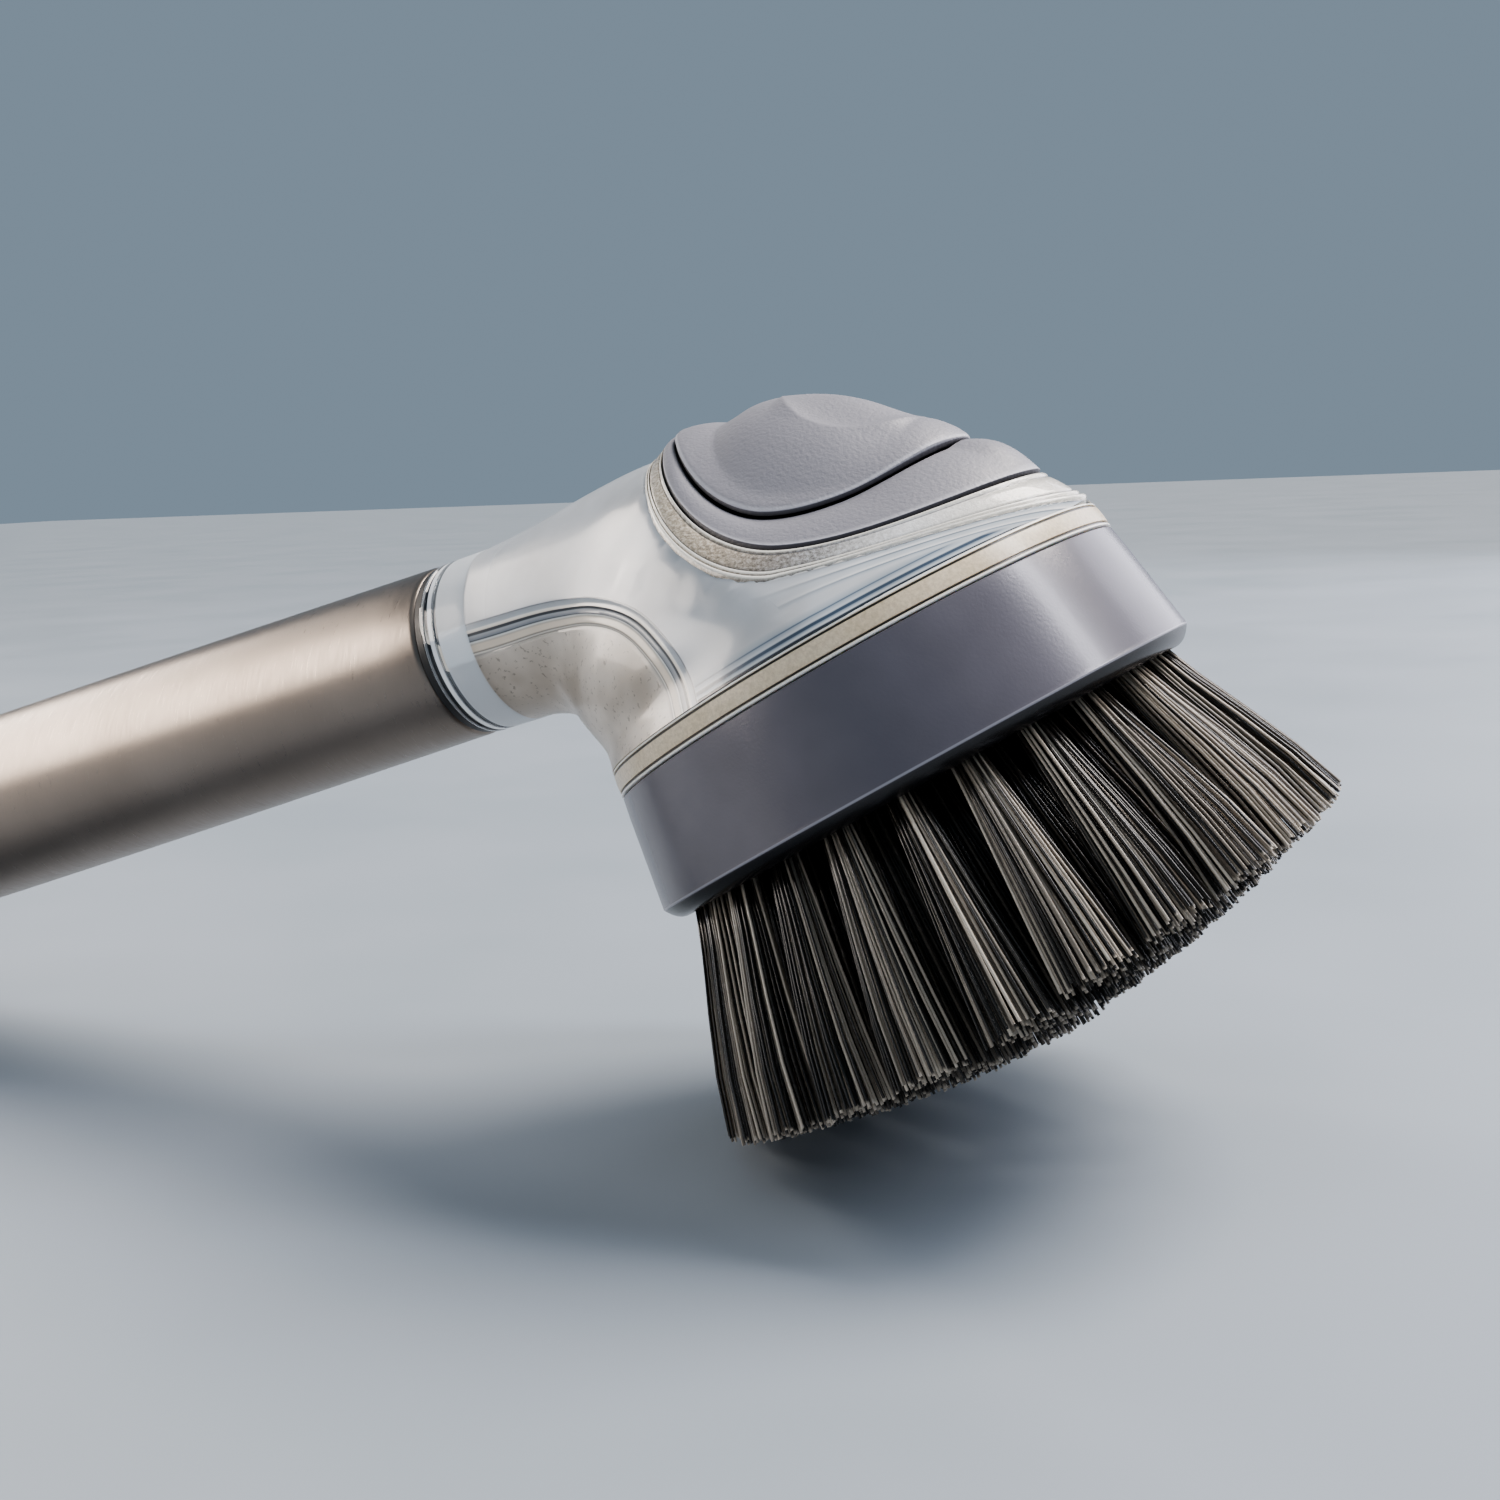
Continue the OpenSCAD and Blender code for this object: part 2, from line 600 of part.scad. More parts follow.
module root_slice(i) {
    out = tuft_ring_r(i) + tuft_r + strand_d / 2;
    in = tuft_ring_r(i) - tuft_r - strand_d / 2;
    n = 48;
    circle_at = function (r, z) [for (c = [0:n - 1]) [r * cos(360 * c / n), r * sin(360 * c / n), z]];
    skin([circle_at(in, slice_t), circle_at(out, slice_t), circle_at(out, 0), circle_at(in, 0)], loop = true);
}
module tuft_ring(i) {
    rest_pose() {
        root_slice(i);
        for (j = [0:tufts(i) - 1], k = [0:strands(i) - 1]) strand(i, j, k);
    }
}
module outer_tufts() {
    color([0.13, 0.12, 0.11]) difference() {
        tuft_ring(0);
        translate([-handle_l, -2 * rim_r, -overrun]) cube([2 * handle_l, 4 * rim_r, overrun]);
    }
}
module second_tufts() {
    color([0.13, 0.12, 0.11]) tuft_ring(1);
}
module third_tufts() {
    color([0.13, 0.12, 0.11]) tuft_ring(2);
}
module inner_tufts() {
    color([0.13, 0.12, 0.11]) tuft_ring(3);
}

// The handle: a steel sleeve over a soap reservoir, closed by the end cap
sleeve_l = handle_l - cap_l;
sleeve_steps = 12;
lip_round = 0.4;
function sleeve_r(s) = collar_r + (handle_end_r - collar_r) * sin(90 * max(s, 0) / sleeve_l);
function wall_line(s0, s1, inset) = [for (i = [0:sleeve_steps])
    let (s = s0 + (s1 - s0) * i / sleeve_steps) [sleeve_r(s) - inset, s]];
function backwards(list) = [for (i = [len(list) - 1:-1:0]) list[i]];
module handle_sleeve() {
    color("Silver") rest_pose() head_to_handle() rotate_extrude() polygon(concat(
        [[collar_r - sleeve_t, 0], [collar_r - lip_round, 0]],
        wall_line(lip_round, sleeve_l, 0),
        backwards(wall_line(lip_round, sleeve_l, sleeve_t))
    ));
}
plug_l = 12;
module soap_reservoir() {
    inset = sleeve_t + snug_gap;
    far = sleeve_l - plug_l - soft_gap;
    color("WhiteSmoke", 0.7) rest_pose() head_to_handle() difference() {
        union() {
            rotate_extrude() polygon(concat(
                [[neck_bore_r, -neck_depth], [neck_r, -neck_depth], [neck_r, 0], [collar_r - inset, 0]],
                wall_line(lip_round, far, inset),
                backwards(wall_line(lip_round + reservoir_t, far, inset + reservoir_t)),
                [[neck_bore_r, lip_round + reservoir_t]]
            ));
            for (i = [0:neck_lugs - 1])
                sector(neck_r + neck_lug_h, neck_r - reservoir_t, neck_lug_z, neck_lug_z + neck_lug_t,
                    neck_lug_angle, 90 + i * 360 / neck_lugs);
        }
        torus(neck_seal_at, neck_seal_r + snug_gap, neck_seal_z);
    }
}
module neck_o_ring() {
    color([0.05, 0.05, 0.05]) rest_pose() head_to_handle()
        torus(neck_seal_at, neck_seal_r, neck_seal_z);
}
module lip_gasket() {
    color([0.05, 0.05, 0.05]) rest_pose() head_to_handle()
        ring(collar_r - lip_round / 2, neck_r + snug_gap, -lip_gasket_t + slide_gap, 0);
}
cap_seal_r = 0.7;
cap_seal_z = sleeve_l - plug_l / 2;
corner_steps = 6;
plug_r = sleeve_r(sleeve_l - plug_l) - sleeve_t - snug_gap;
cap_seal_at = plug_r + snug_gap - cap_seal_r;
module end_cap() {
    color("DimGray") rest_pose() head_to_handle() difference() {
        rotate_extrude() polygon(concat(
            [[0, sleeve_l - plug_l], [plug_r, sleeve_l - plug_l], [plug_r, sleeve_l], [handle_end_r, sleeve_l]],
            [for (i = [0:corner_steps]) let (a = 90 * i / corner_steps)
                [handle_end_r - cap_corner_r * (1 - cos(a)), handle_l - cap_corner_r * (1 - sin(a))]],
            [[0, handle_l]]
        ));
        torus(cap_seal_at, cap_seal_r + snug_gap, cap_seal_z);
        translate([0, 0, handle_l - cap_l / 2]) rotate([90, 0, 0])
            cylinder(r = hang_r, h = 3 * handle_end_r, center = true);
    }
}
module end_cap_o_ring() {
    color([0.05, 0.05, 0.05]) rest_pose() head_to_handle() torus(cap_seal_at, cap_seal_r, cap_seal_z);
}

clear_body();
outlet_plate();
slit_valve();
valve_retainer();
button_boot();
pump_cylinder();
pump_cover();
rod_seal();
inlet_flap();
return_spring();
button_cap();
button_core();
pump_piston();
piston_seal();
brush_holder();
holder_gasket();
tuft_plate();
tuft_anchors();
outer_tufts();
second_tufts();
third_tufts();
inner_tufts();
handle_sleeve();
soap_reservoir();
lip_gasket();
neck_o_ring();
end_cap();
end_cap_o_ring();
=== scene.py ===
import json
import random
from math import atan2, copysign, cos, degrees, hypot, pi, radians, sin, sqrt, tan
import bpy
from mathutils import Matrix, Vector
from mathutils.bvhtree import BVHTree


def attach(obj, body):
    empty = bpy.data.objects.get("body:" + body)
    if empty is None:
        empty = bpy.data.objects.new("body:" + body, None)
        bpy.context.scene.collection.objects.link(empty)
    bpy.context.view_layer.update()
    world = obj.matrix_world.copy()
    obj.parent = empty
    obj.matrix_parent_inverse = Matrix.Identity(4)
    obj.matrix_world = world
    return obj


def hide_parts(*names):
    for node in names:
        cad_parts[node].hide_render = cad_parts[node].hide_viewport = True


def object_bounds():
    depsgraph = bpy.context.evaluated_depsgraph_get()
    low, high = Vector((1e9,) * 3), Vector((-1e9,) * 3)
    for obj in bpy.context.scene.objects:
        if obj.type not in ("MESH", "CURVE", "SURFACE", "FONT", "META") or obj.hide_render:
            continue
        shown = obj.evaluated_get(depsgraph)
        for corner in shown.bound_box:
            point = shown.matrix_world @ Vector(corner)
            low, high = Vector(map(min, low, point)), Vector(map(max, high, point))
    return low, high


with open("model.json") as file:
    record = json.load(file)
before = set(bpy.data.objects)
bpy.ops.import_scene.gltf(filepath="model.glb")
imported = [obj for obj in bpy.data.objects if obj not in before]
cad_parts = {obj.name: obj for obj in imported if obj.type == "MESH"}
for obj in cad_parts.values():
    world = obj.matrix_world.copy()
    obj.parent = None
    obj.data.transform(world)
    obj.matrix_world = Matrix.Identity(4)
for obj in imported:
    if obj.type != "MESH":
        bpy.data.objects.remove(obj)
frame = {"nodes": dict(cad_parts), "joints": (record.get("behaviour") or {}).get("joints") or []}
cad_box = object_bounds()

MM = 0.001
joints = {joint["name"]: joint for joint in frame["joints"]}


# ---- Frames ----

def frame_at(origin, axis):
    """A frame in metres with its Z along the axis and its Y across the wand."""
    z = Vector(axis).normalized()
    y = Vector((0, 1, 0))
    x = y.cross(z)
    place = Matrix((x, y, z)).transposed().to_4x4()
    place.translation = origin
    return place


head = frame_at(joints["brush_twist"]["pos_m"], joints["brush_twist"]["axis"])
handle = frame_at(joints["handle_twist"]["pos_m"], joints["handle_twist"]["axis"])
button_zero = (10.0, 0.0, 34.0)
button = frame_at(head @ (Vector(button_zero) * MM), -Vector(joints["button_press"]["axis"]))
to_mm = Matrix.Scale(MM, 4)
button_from_head = (button @ to_mm).inverted() @ (head @ to_mm)
head_from_button = button_from_head.inverted()


# ---- Camera ----

def add_camera():
    """The photograph's view: low, from the front right, 44 mm lens on a 36 mm frame."""
    turn = Vector((1.5512, -0.0424, -0.76))
    seen = Matrix.Rotation(turn.length, 3, turn.normalized())
    right, down, ahead = (head.to_3x3() @ Vector(row) for row in seen)
    data = bpy.data.cameras.new("camera")
    data.sensor_width = 36
    data.lens = 36 * 1851.9 / 1500
    data.clip_start = 0.01
    camera = bpy.data.objects.new("camera", data)
    bpy.context.scene.collection.objects.link(camera)
    camera.matrix_world = Matrix((right, -down, -ahead)).transposed().to_4x4()
    camera.location = head @ (Vector((75.85, -194.53, -2.78)) * MM)
    bpy.context.scene.camera = camera


add_camera()


# ---- Materials ----

def linear(hex_colour):
    """An sRGB hex colour as linear RGBA."""
    levels = [int(hex_colour[i:i + 2], 16) / 255 for i in (1, 3, 5)]
    return [c / 12.92 if c <= 0.04045 else ((c + 0.055) / 1.055) ** 2.4 for c in levels] + [1.0]


def new_material(name):
    """An empty material, with its pattern's place in millimetres."""
    material = bpy.data.materials.new(name)
    material.use_nodes = True
    material.node_tree.nodes.clear()
    place = add_node(material, "ShaderNodeTexCoord").outputs["Object"]
    return material, add_node(material, "ShaderNodeMapping", Vector=place, Scale=[1 / MM] * 3)


def add_node(material, kind, settings=None, stops=(), **values):
    """Adds a node. Settings are its own properties, and stops a ramp's (place, colour or grey).
    Values fill its inputs, or link them to an output or to a node's first output."""
    node = material.node_tree.nodes.new(kind)
    for key, value in (settings or {}).items():
        setattr(node, key, value)
    if stops:
        elements = node.color_ramp.elements
        while len(elements) < len(stops):
            elements.new(0.5)
        for element, (place, colour) in zip(elements, stops):
            element.position = place
            element.color = linear(colour) if isinstance(colour, str) else [colour] * 3 + [1]
    for key, value in values.items():
        key = key.replace("_", " ")
        numbered = key.startswith("in") and key[2:].isdigit()
        socket = node.inputs[int(key[2:])] if numbered else node.inputs[key]
        if isinstance(value, bpy.types.Node):
            value = value.outputs[0]
        if isinstance(value, bpy.types.NodeSocket):
            material.node_tree.links.new(value, socket)
        else:
            socket.default_value = value
    return node


MIX = {"data_type": "RGBA"}
MULTIPLY = {"data_type": "RGBA", "blend_type": "MULTIPLY"}
# How much of a line's colour shows along the attribute "edge". The lines are painted highlight
# and painted shade. A rim runs from plain at 0, over a painted highlight line, to its wall in
# painted shade at 1. A band is plain at 0.5, with painted shade lines below and painted
# highlight lines above.
RIM_SHARE = [(0.05, 0.0), (0.3, 0.8), (0.5, 0.8), (0.65, 1.0)]
BAND_SHARE = [(0.1, 1.0), (0.45, 0.0), (0.55, 0.0), (0.9, 1.0)]


def lined(m, tone, share, lines):
    """The tone with a piece's painted highlight and painted shade lines over it: how much shows
    along "edge", and their colours.
    """
    edge = add_node(m, "ShaderNodeAttribute", {"attribute_name": "edge"}).outputs["Fac"]
    share = add_node(m, "ShaderNodeValToRGB", stops=share, Fac=edge)
    lines = add_node(m, "ShaderNodeValToRGB", stops=lines, Fac=edge)
    return add_node(m, "ShaderNodeMix", MIX, in0=share, in6=tone, in7=lines).outputs[2]


def silicone_grey():
    # Moulded silicone, spark-eroded tool: satin lavender grey with a fine, even grain. Its rims
    # carry a painted highlight line with painted shade below it.
    m, mm = new_material("moulded_silicone_satin")
    # 0.45 mm grain, drawn coarser than real, and a 16 mm drift
    grain = add_node(m, "ShaderNodeTexNoise", Vector=mm, Scale=2.2, Detail=2.0)
    cloud = add_node(m, "ShaderNodeTexNoise", Vector=mm, Scale=0.06, Detail=2.0)
    tone = add_node(m, "ShaderNodeValToRGB", stops=[(0.3, "#8f8d93"), (0.7, "#98969c")], Fac=cloud)
    # Painted highlight (light greys) and painted shade (dark greys) along the rims
    tone = lined(m, tone, RIM_SHARE, [
        (0.3, "#c4c2c8"), (0.5, "#b5b3b9"), (0.62, "#55535a"), (1.0, "#2a282c")])
    rough = add_node(m, "ShaderNodeValToRGB", stops=[(0.3, 0.42), (0.7, 0.6)], Fac=grain)
    bump = add_node(m, "ShaderNodeBump", Height=grain, Distance=0.09 * MM, Strength=0.9)
    shader = add_node(m, "ShaderNodeBsdfPrincipled", Base_Color=tone, Roughness=rough,
                      Coat_Weight=0.1, Coat_Roughness=0.3, IOR=1.43, Normal=bump)
    add_node(m, "ShaderNodeOutputMaterial", Surface=shader)
    return m


def holder_abs():
    # Injection-moulded ABS off a polished tool: glossy slate grey, softly mottled by the flow. Its
    # sharp lower edge has a painted highlight line over painted shade on the rolled-in lip.
    m, mm = new_material("polished_abs_slate")
    # 12 mm flow marks and 0.33 mm orange peel
    flow = add_node(m, "ShaderNodeTexNoise", Vector=mm, Scale=0.08, Detail=3.0)
    grain = add_node(m, "ShaderNodeTexNoise", Vector=mm, Scale=3.0, Detail=2.0)
    tone = add_node(m, "ShaderNodeValToRGB", stops=[(0.3, "#5e5b63"), (0.7, "#6a676f")], Fac=flow)
    # Painted highlight at the crisp edge, painted shade over the lip
    tone = lined(m, tone, RIM_SHARE, [
        (0.3, "#a5a3ab"), (0.5, "#9a98a0"), (0.65, "#2a282c"), (1.0, "#141315")])
    bump = add_node(m, "ShaderNodeBump", Height=grain, Distance=0.02 * MM, Strength=0.6)
    shader = add_node(m, "ShaderNodeBsdfPrincipled", Base_Color=tone, Metallic=0.08,
                      Roughness=0.27, IOR=1.54, Specular_IOR_Level=0.4, Coat_Weight=0.12,
                      Coat_Roughness=0.1, Normal=bump)
    add_node(m, "ShaderNodeOutputMaterial", Surface=shader)
    return m


def clear_styrene():
    # Moulded clear styrene-acrylonitrile: sharp at the mouth, milky over the hood, warm and pitted
    # in the elbow. Painted highlight and painted shade lines, standing in for light bent and
    # reflected by the plastic's steps, run along the ledges below the hood's edge (arch), round the
    # button's land (rim), above the band (foot) and round the collar.
    m, mm = new_material("moulded_clear_styrene")
    frost, arch, rim, foot, show, collar = (
        add_node(m, "ShaderNodeAttribute", {"attribute_name": name}).outputs["Fac"]
        for name in ("frost", "arch", "rim", "foot", "show", "collar"))
    # 11 mm haze and 0.6 mm bubbles
    haze = add_node(m, "ShaderNodeTexNoise", Vector=mm, Scale=0.09, Detail=3.0)
    dust = add_node(m, "ShaderNodeTexNoise", Vector=mm, Scale=1.6, Detail=3.0, Roughness=0.6)
    hood, warm = "#dfe2e6", "#f2e6d8"
    # Painted highlight and painted shade lines along the ledges, then the elbow's warm tone
    ledges = add_node(m, "ShaderNodeValToRGB", Fac=arch, stops=[
        (0.1, hood), (0.125, "#6f747b"), (0.145, "#b6babf"), (0.205, "#c2c6ca"),
        (0.222, "#fff8ee"), (0.255, "#fff4e4"), (0.268, "#33373d"), (0.3, "#3d4249"),
        (0.315, "#b3b6ba"), (0.37, "#8b9097"), (0.386, "#3d444d"), (0.403, "#f6f6f2"),
        (0.43, "#cfc6b9"), (0.455, "#efe0cc"), (0.535, "#f1e2cf"), (0.556, "#8f877d"),
        (0.575, "#f8f1e6"), (0.6, "#a8a29b"), (0.66, warm), (1.0, warm)])
    # Painted shade lines over the collar's grooves and a painted highlight between them
    collar_painted_lines = add_node(m, "ShaderNodeValToRGB", Fac=collar, stops=[
        (0.0, "#f4f6f8"), (0.12, "#f4f6f8"), (0.15, "#22262b"), (0.19, "#22262b"),
        (0.21, "#ffffff"), (0.25, "#ffffff"), (0.27, "#e6ebf0"), (0.31, "#3a4046"),
        (0.33, "#eef2f5"), (1.0, "#eef2f5")])
    # Painted highlight and painted shade lines round the land, shown towards its front
    lines = add_node(m, "ShaderNodeValToRGB", Fac=rim, stops=[
        (0.0, "#fffaf0"), (0.02, "#fffaf0"), (0.035, "#59646f"), (0.055, "#b4bec8"), (0.09, hood),
        (0.115, "#ffffff"), (0.13, "#74818e"), (0.155, "#cdd5dc"), (0.2, hood),
        (0.23, "#ffffff"), (0.245, "#8996a3"), (0.27, "#ccd4db"), (0.3, hood), (1.0, hood)])
    # Painted reflection lines above the band, light and dark
    feet = add_node(m, "ShaderNodeValToRGB", Fac=foot, stops=[
        (0.0, "#2d3540"), (0.02, "#2d3540"), (0.035, "#dfe5ea"), (0.06, "#aab6c2"),
        (0.075, "#46566a"), (0.1, "#46566a"), (0.115, "#dde3e9"), (0.16, "#b4bfca"),
        (0.175, "#5d6e82"), (0.19, "#b9c3cd"), (0.26, hood), (1.0, hood)])
    drift = add_node(m, "ShaderNodeValToRGB", stops=[(0.3, "#d9d7d4"), (0.7, "#ffffff")], Fac=haze)
    at_rim = add_node(m, "ShaderNodeValToRGB", stops=[(0.28, 1.0), (0.34, 0.0)], Fac=rim)
    at_rim = add_node(m, "ShaderNodeMath", {"operation": "MULTIPLY"}, in0=at_rim, in1=show)
    tone = add_node(m, "ShaderNodeMix", MIX, in0=at_rim, in6=feet, in7=lines).outputs[2]
    at_arch = add_node(m, "ShaderNodeValToRGB", stops=[(0.1, 0.0), (0.12, 1.0)], Fac=arch)
    tone = add_node(m, "ShaderNodeMix", MIX, in0=at_arch, in6=tone, in7=ledges).outputs[2]
    at_elbow = add_node(m, "ShaderNodeValToRGB", stops=[(0.62, 0.0), (0.7, 0.75)], Fac=arch)
    streaks = add_node(m, "ShaderNodeValToRGB", Fac=haze,
                       stops=[(0.38, "#d3cec7"), (0.6, "#ffffff")])
    pits = add_node(m, "ShaderNodeValToRGB", stops=[(0.6, "#ffffff"), (0.67, "#b0aaa3")], Fac=dust)
    for share, layer in ((0.8, drift), (at_elbow, streaks), (at_elbow, pits)):
        tone = add_node(m, "ShaderNodeMix", MULTIPLY, in0=share, in6=tone, in7=layer).outputs[2]
    at_collar = add_node(m, "ShaderNodeValToRGB", stops=[(0.7, 1.0), (0.9, 0.0)], Fac=collar)
    tone = add_node(m, "ShaderNodeMix", MIX, in0=at_collar, in6=tone, in7=collar_painted_lines).outputs[2]
    rough = add_node(m, "ShaderNodeValToRGB", Fac=frost,
                     stops=[(0.0, 0.03), (0.6, 0.4), (0.75, 0.4), (1.0, 0.27)])
    # Clear where there is no frost, and solid along the painted lines
    clear = add_node(m, "ShaderNodeValToRGB", Fac=frost,
                     stops=[(0.0, 0.72), (0.35, 0.4), (1.0, 0.12)])
    solid = add_node(m, "ShaderNodeValToRGB", Fac=arch,
                     stops=[(0.1, 0.0), (0.13, 0.6), (0.6, 0.6), (0.68, 0.0)])
    solid = add_node(m, "ShaderNodeMath", {"operation": "MULTIPLY"}, in0=solid, in1=frost)
    ringed = add_node(m, "ShaderNodeValToRGB", Fac=collar, stops=[
        (0.13, 0.0), (0.15, 0.9), (0.25, 0.9), (0.27, 0.0), (0.29, 0.0), (0.31, 0.8), (0.33, 0.0)])
    for line in (solid, ringed):
        clear = add_node(m, "ShaderNodeMath", {"operation": "SUBTRACT", "use_clamp": True},
                         in0=clear, in1=line)
    wave = add_node(m, "ShaderNodeBump", Height=haze, Distance=0.25 * MM, Strength=0.35)
    bump = add_node(m, "ShaderNodeBump", Height=dust, Distance=0.03 * MM, Strength=0.3, Normal=wave)
    shader = add_node(m, "ShaderNodeBsdfPrincipled", Base_Color=tone, Roughness=rough, IOR=1.45,
                      Transmission_Weight=clear, Coat_Weight=0.25, Coat_Roughness=0.08, Normal=bump)
    add_node(m, "ShaderNodeOutputMaterial", Surface=shader)
    return m


def cream_polypropylene():
    # Moulded natural polypropylene: beige, a little translucent, finely grained, with painted
    # highlight and painted shade lines along its edges
    m, mm = new_material("natural_polypropylene")
    # 0.4 mm grain and 7 mm clouds
    grain = add_node(m, "ShaderNodeTexNoise", Vector=mm, Scale=2.6, Detail=3.0, Roughness=0.7)
    cloud = add_node(m, "ShaderNodeTexNoise", Vector=mm, Scale=0.15, Detail=3.0)
    tone = add_node(m, "ShaderNodeValToRGB", stops=[(0.3, "#e2cfb0"), (0.7, "#efdec4")], Fac=cloud)
    speck = add_node(m, "ShaderNodeValToRGB", Fac=grain,
                     stops=[(0.35, "#d2cdc6"), (0.65, "#ffffff")])
    tone = add_node(m, "ShaderNodeMix", MULTIPLY, in0=0.6, in6=tone, in7=speck).outputs[2]
    # Painted shade lines in the grooves, painted highlight lines on the lips
    tone = lined(m, tone, BAND_SHARE, [
        (0.0, "#24211d"), (0.4, "#4b463e"), (0.6, "#f3ecdc"), (1.0, "#fffaf0")])
    bump = add_node(m, "ShaderNodeBump", Height=grain, Distance=0.04 * MM, Strength=0.5)
    shader = add_node(m, "ShaderNodeBsdfPrincipled", Base_Color=tone, Roughness=0.36, IOR=1.49,
                      Coat_Weight=0.3, Coat_Roughness=0.2, Subsurface_Weight=0.15,
                      Subsurface_Scale=0.002, Subsurface_Radius=(1.0, 0.8, 0.6), Normal=bump)
    add_node(m, "ShaderNodeOutputMaterial", Surface=shader)
    return m


def frosted_styrene():
    # The same clear styrene, etched: a warm, dark-specked grain behind the button, grey beside it
    # and clear white towards its front
    m, mm = new_material("etched_clear_styrene")
    front = add_node(m, "ShaderNodeAttribute", {"attribute_name": "front"}).outputs["Fac"]
    # 0.4 mm grain
    grain = add_node(m, "ShaderNodeTexNoise", Vector=mm, Scale=2.4, Detail=4.0, Roughness=0.75)
    tone = add_node(m, "ShaderNodeValToRGB", Fac=front, stops=[
        (0.0, "#f4ead9"), (0.25, "#ddd2c1"), (0.45, "#b3aea8"), (0.6, "#c3c4c6"),
        (0.85, "#ffffff"), (1.0, "#fffaf0")])
    speck = add_node(m, "ShaderNodeValToRGB", Fac=grain,
                     stops=[(0.36, "#6f675d"), (0.5, "#cbc4b9"), (0.62, "#ffffff")])
    depth = add_node(m, "ShaderNodeValToRGB", Fac=front,
                     stops=[(0.0, 0.75), (0.6, 0.8), (0.85, 0.25)])
    tone = add_node(m, "ShaderNodeMix", MULTIPLY, in0=depth, in6=tone, in7=speck).outputs[2]
    # Painted shade lines in the land's grooves, painted highlight lines on its beads
    tone = lined(m, tone, BAND_SHARE, [
        (0.0, "#2b2e32"), (0.4, "#5a5f64"), (0.6, "#f3ecdc"), (1.0, "#fffaf0")])
    bump = add_node(m, "ShaderNodeBump", Height=grain, Distance=0.12 * MM, Strength=0.6)
    shader = add_node(m, "ShaderNodeBsdfPrincipled", Base_Color=tone, Roughness=0.26, IOR=1.45,
                      Transmission_Weight=0.15, Coat_Weight=0.6, Coat_Roughness=0.08, Normal=bump)
    add_node(m, "ShaderNodeOutputMaterial", Surface=shader)
    return m


def brushed_steel():
    # Brushed stainless steel tube: warm grey satin, fine scratches round the tube
    m, mm = new_material("brushed_stainless_steel")
    # 0.17 mm scratches across the tube's axis, drawn coarser than real, and 20 mm clouds
    along = add_node(m, "ShaderNodeMapping", Vector=mm, Rotation=(0, radians(-15.745), 0),
                     Scale=(6.0, 0.35, 0.35))
    scratch = add_node(m, "ShaderNodeTexNoise", Vector=along, Scale=1.0, Detail=4.0, Roughness=0.65)
    cloud = add_node(m, "ShaderNodeTexNoise", Vector=mm, Scale=0.05, Detail=2.0)
    tone = add_node(m, "ShaderNodeValToRGB", stops=[(0.3, "#80776f"), (0.7, "#8c837b")], Fac=cloud)
    rough = add_node(m, "ShaderNodeValToRGB", stops=[(0.3, 0.26), (0.7, 0.42)], Fac=scratch)
    bump = add_node(m, "ShaderNodeBump", Height=scratch, Distance=0.012 * MM, Strength=0.4)
    shader = add_node(m, "ShaderNodeBsdfPrincipled", Base_Color=tone, Metallic=1.0, Roughness=rough,
                      Normal=bump)
    add_node(m, "ShaderNodeOutputMaterial", Surface=shader)
    return m


def bristle_nylon():
    # Extruded nylon filaments: near-black to taupe, some pale, glossy, with 1.7 mm streaks of
    # gloss.
    # The inner rings' filaments are darkened as painted shade.
    m, mm = new_material("extruded_nylon_filament")
    tint_and_shade = add_node(m, "ShaderNodeAttribute", {"attribute_name": "tint_and_shade"}).outputs["Fac"]
    tone = add_node(m, "ShaderNodeValToRGB", Fac=tint_and_shade, stops=[
        (0.0, "#171513"), (0.4, "#3a3530"), (0.6, "#7d7368"), (1.0, "#d2c6b6")])
    streak = add_node(m, "ShaderNodeTexNoise", Vector=mm, Scale=0.6, Detail=2.0)
    rough = add_node(m, "ShaderNodeValToRGB", stops=[(0.3, 0.2), (0.7, 0.3)], Fac=streak)
    shader = add_node(m, "ShaderNodeBsdfPrincipled", Base_Color=tone, Roughness=rough, IOR=1.53)
    add_node(m, "ShaderNodeOutputMaterial", Surface=shader)
    return m


def plain_finish(name, grain_mm, low, high, rough, bump_mm=0.0, **values):
    """A moulded finish with one grain in its colour, gloss and surface."""
    m, mm = new_material(name)
    grain = add_node(m, "ShaderNodeTexNoise", Vector=mm, Scale=1 / grain_mm, Detail=3.0,
                     Roughness=0.6)
    tone = add_node(m, "ShaderNodeValToRGB", stops=[(0.3, low), (0.7, high)], Fac=grain)
    gloss = add_node(m, "ShaderNodeValToRGB", Fac=grain,
                     stops=[(0.3, rough * 0.85), (0.7, rough * 1.15)])
    bump = add_node(m, "ShaderNodeBump", Height=grain, Distance=bump_mm * MM, Strength=0.4)
    shader = add_node(m, "ShaderNodeBsdfPrincipled", Base_Color=tone, Roughness=gloss, Normal=bump,
                      **values)
    add_node(m, "ShaderNodeOutputMaterial", Surface=shader)
    return m


SILICONE, ABS, STYRENE = silicone_grey(), holder_abs(), clear_styrene()
CREAM, ETCHED = cream_polypropylene(), frosted_styrene()
STEEL, NYLON = brushed_steel(), bristle_nylon()
# Moulded nitrile rubber: deep black, dull with a faint bloom of 1 mm
RUBBER = plain_finish("moulded_nitrile_rubber", 1.0, "#0b0b0b", "#131314", 0.42, 0.01, IOR=1.52)
# Blow-moulded clear copolyester: sharp and colourless, wavy over 4 mm
TANK = plain_finish("clear_copolyester", 4.0, "#e9eef1", "#f4f7f8", 0.05, 0.1, IOR=1.45,
                    Transmission_Weight=0.95)
# Moulded acetal: milk white and waxy, with 3 mm clouds
ACETAL = plain_finish("moulded_acetal_white", 3.0, "#dfe3e6", "#eef0f2", 0.35, 0.02, IOR=1.48)
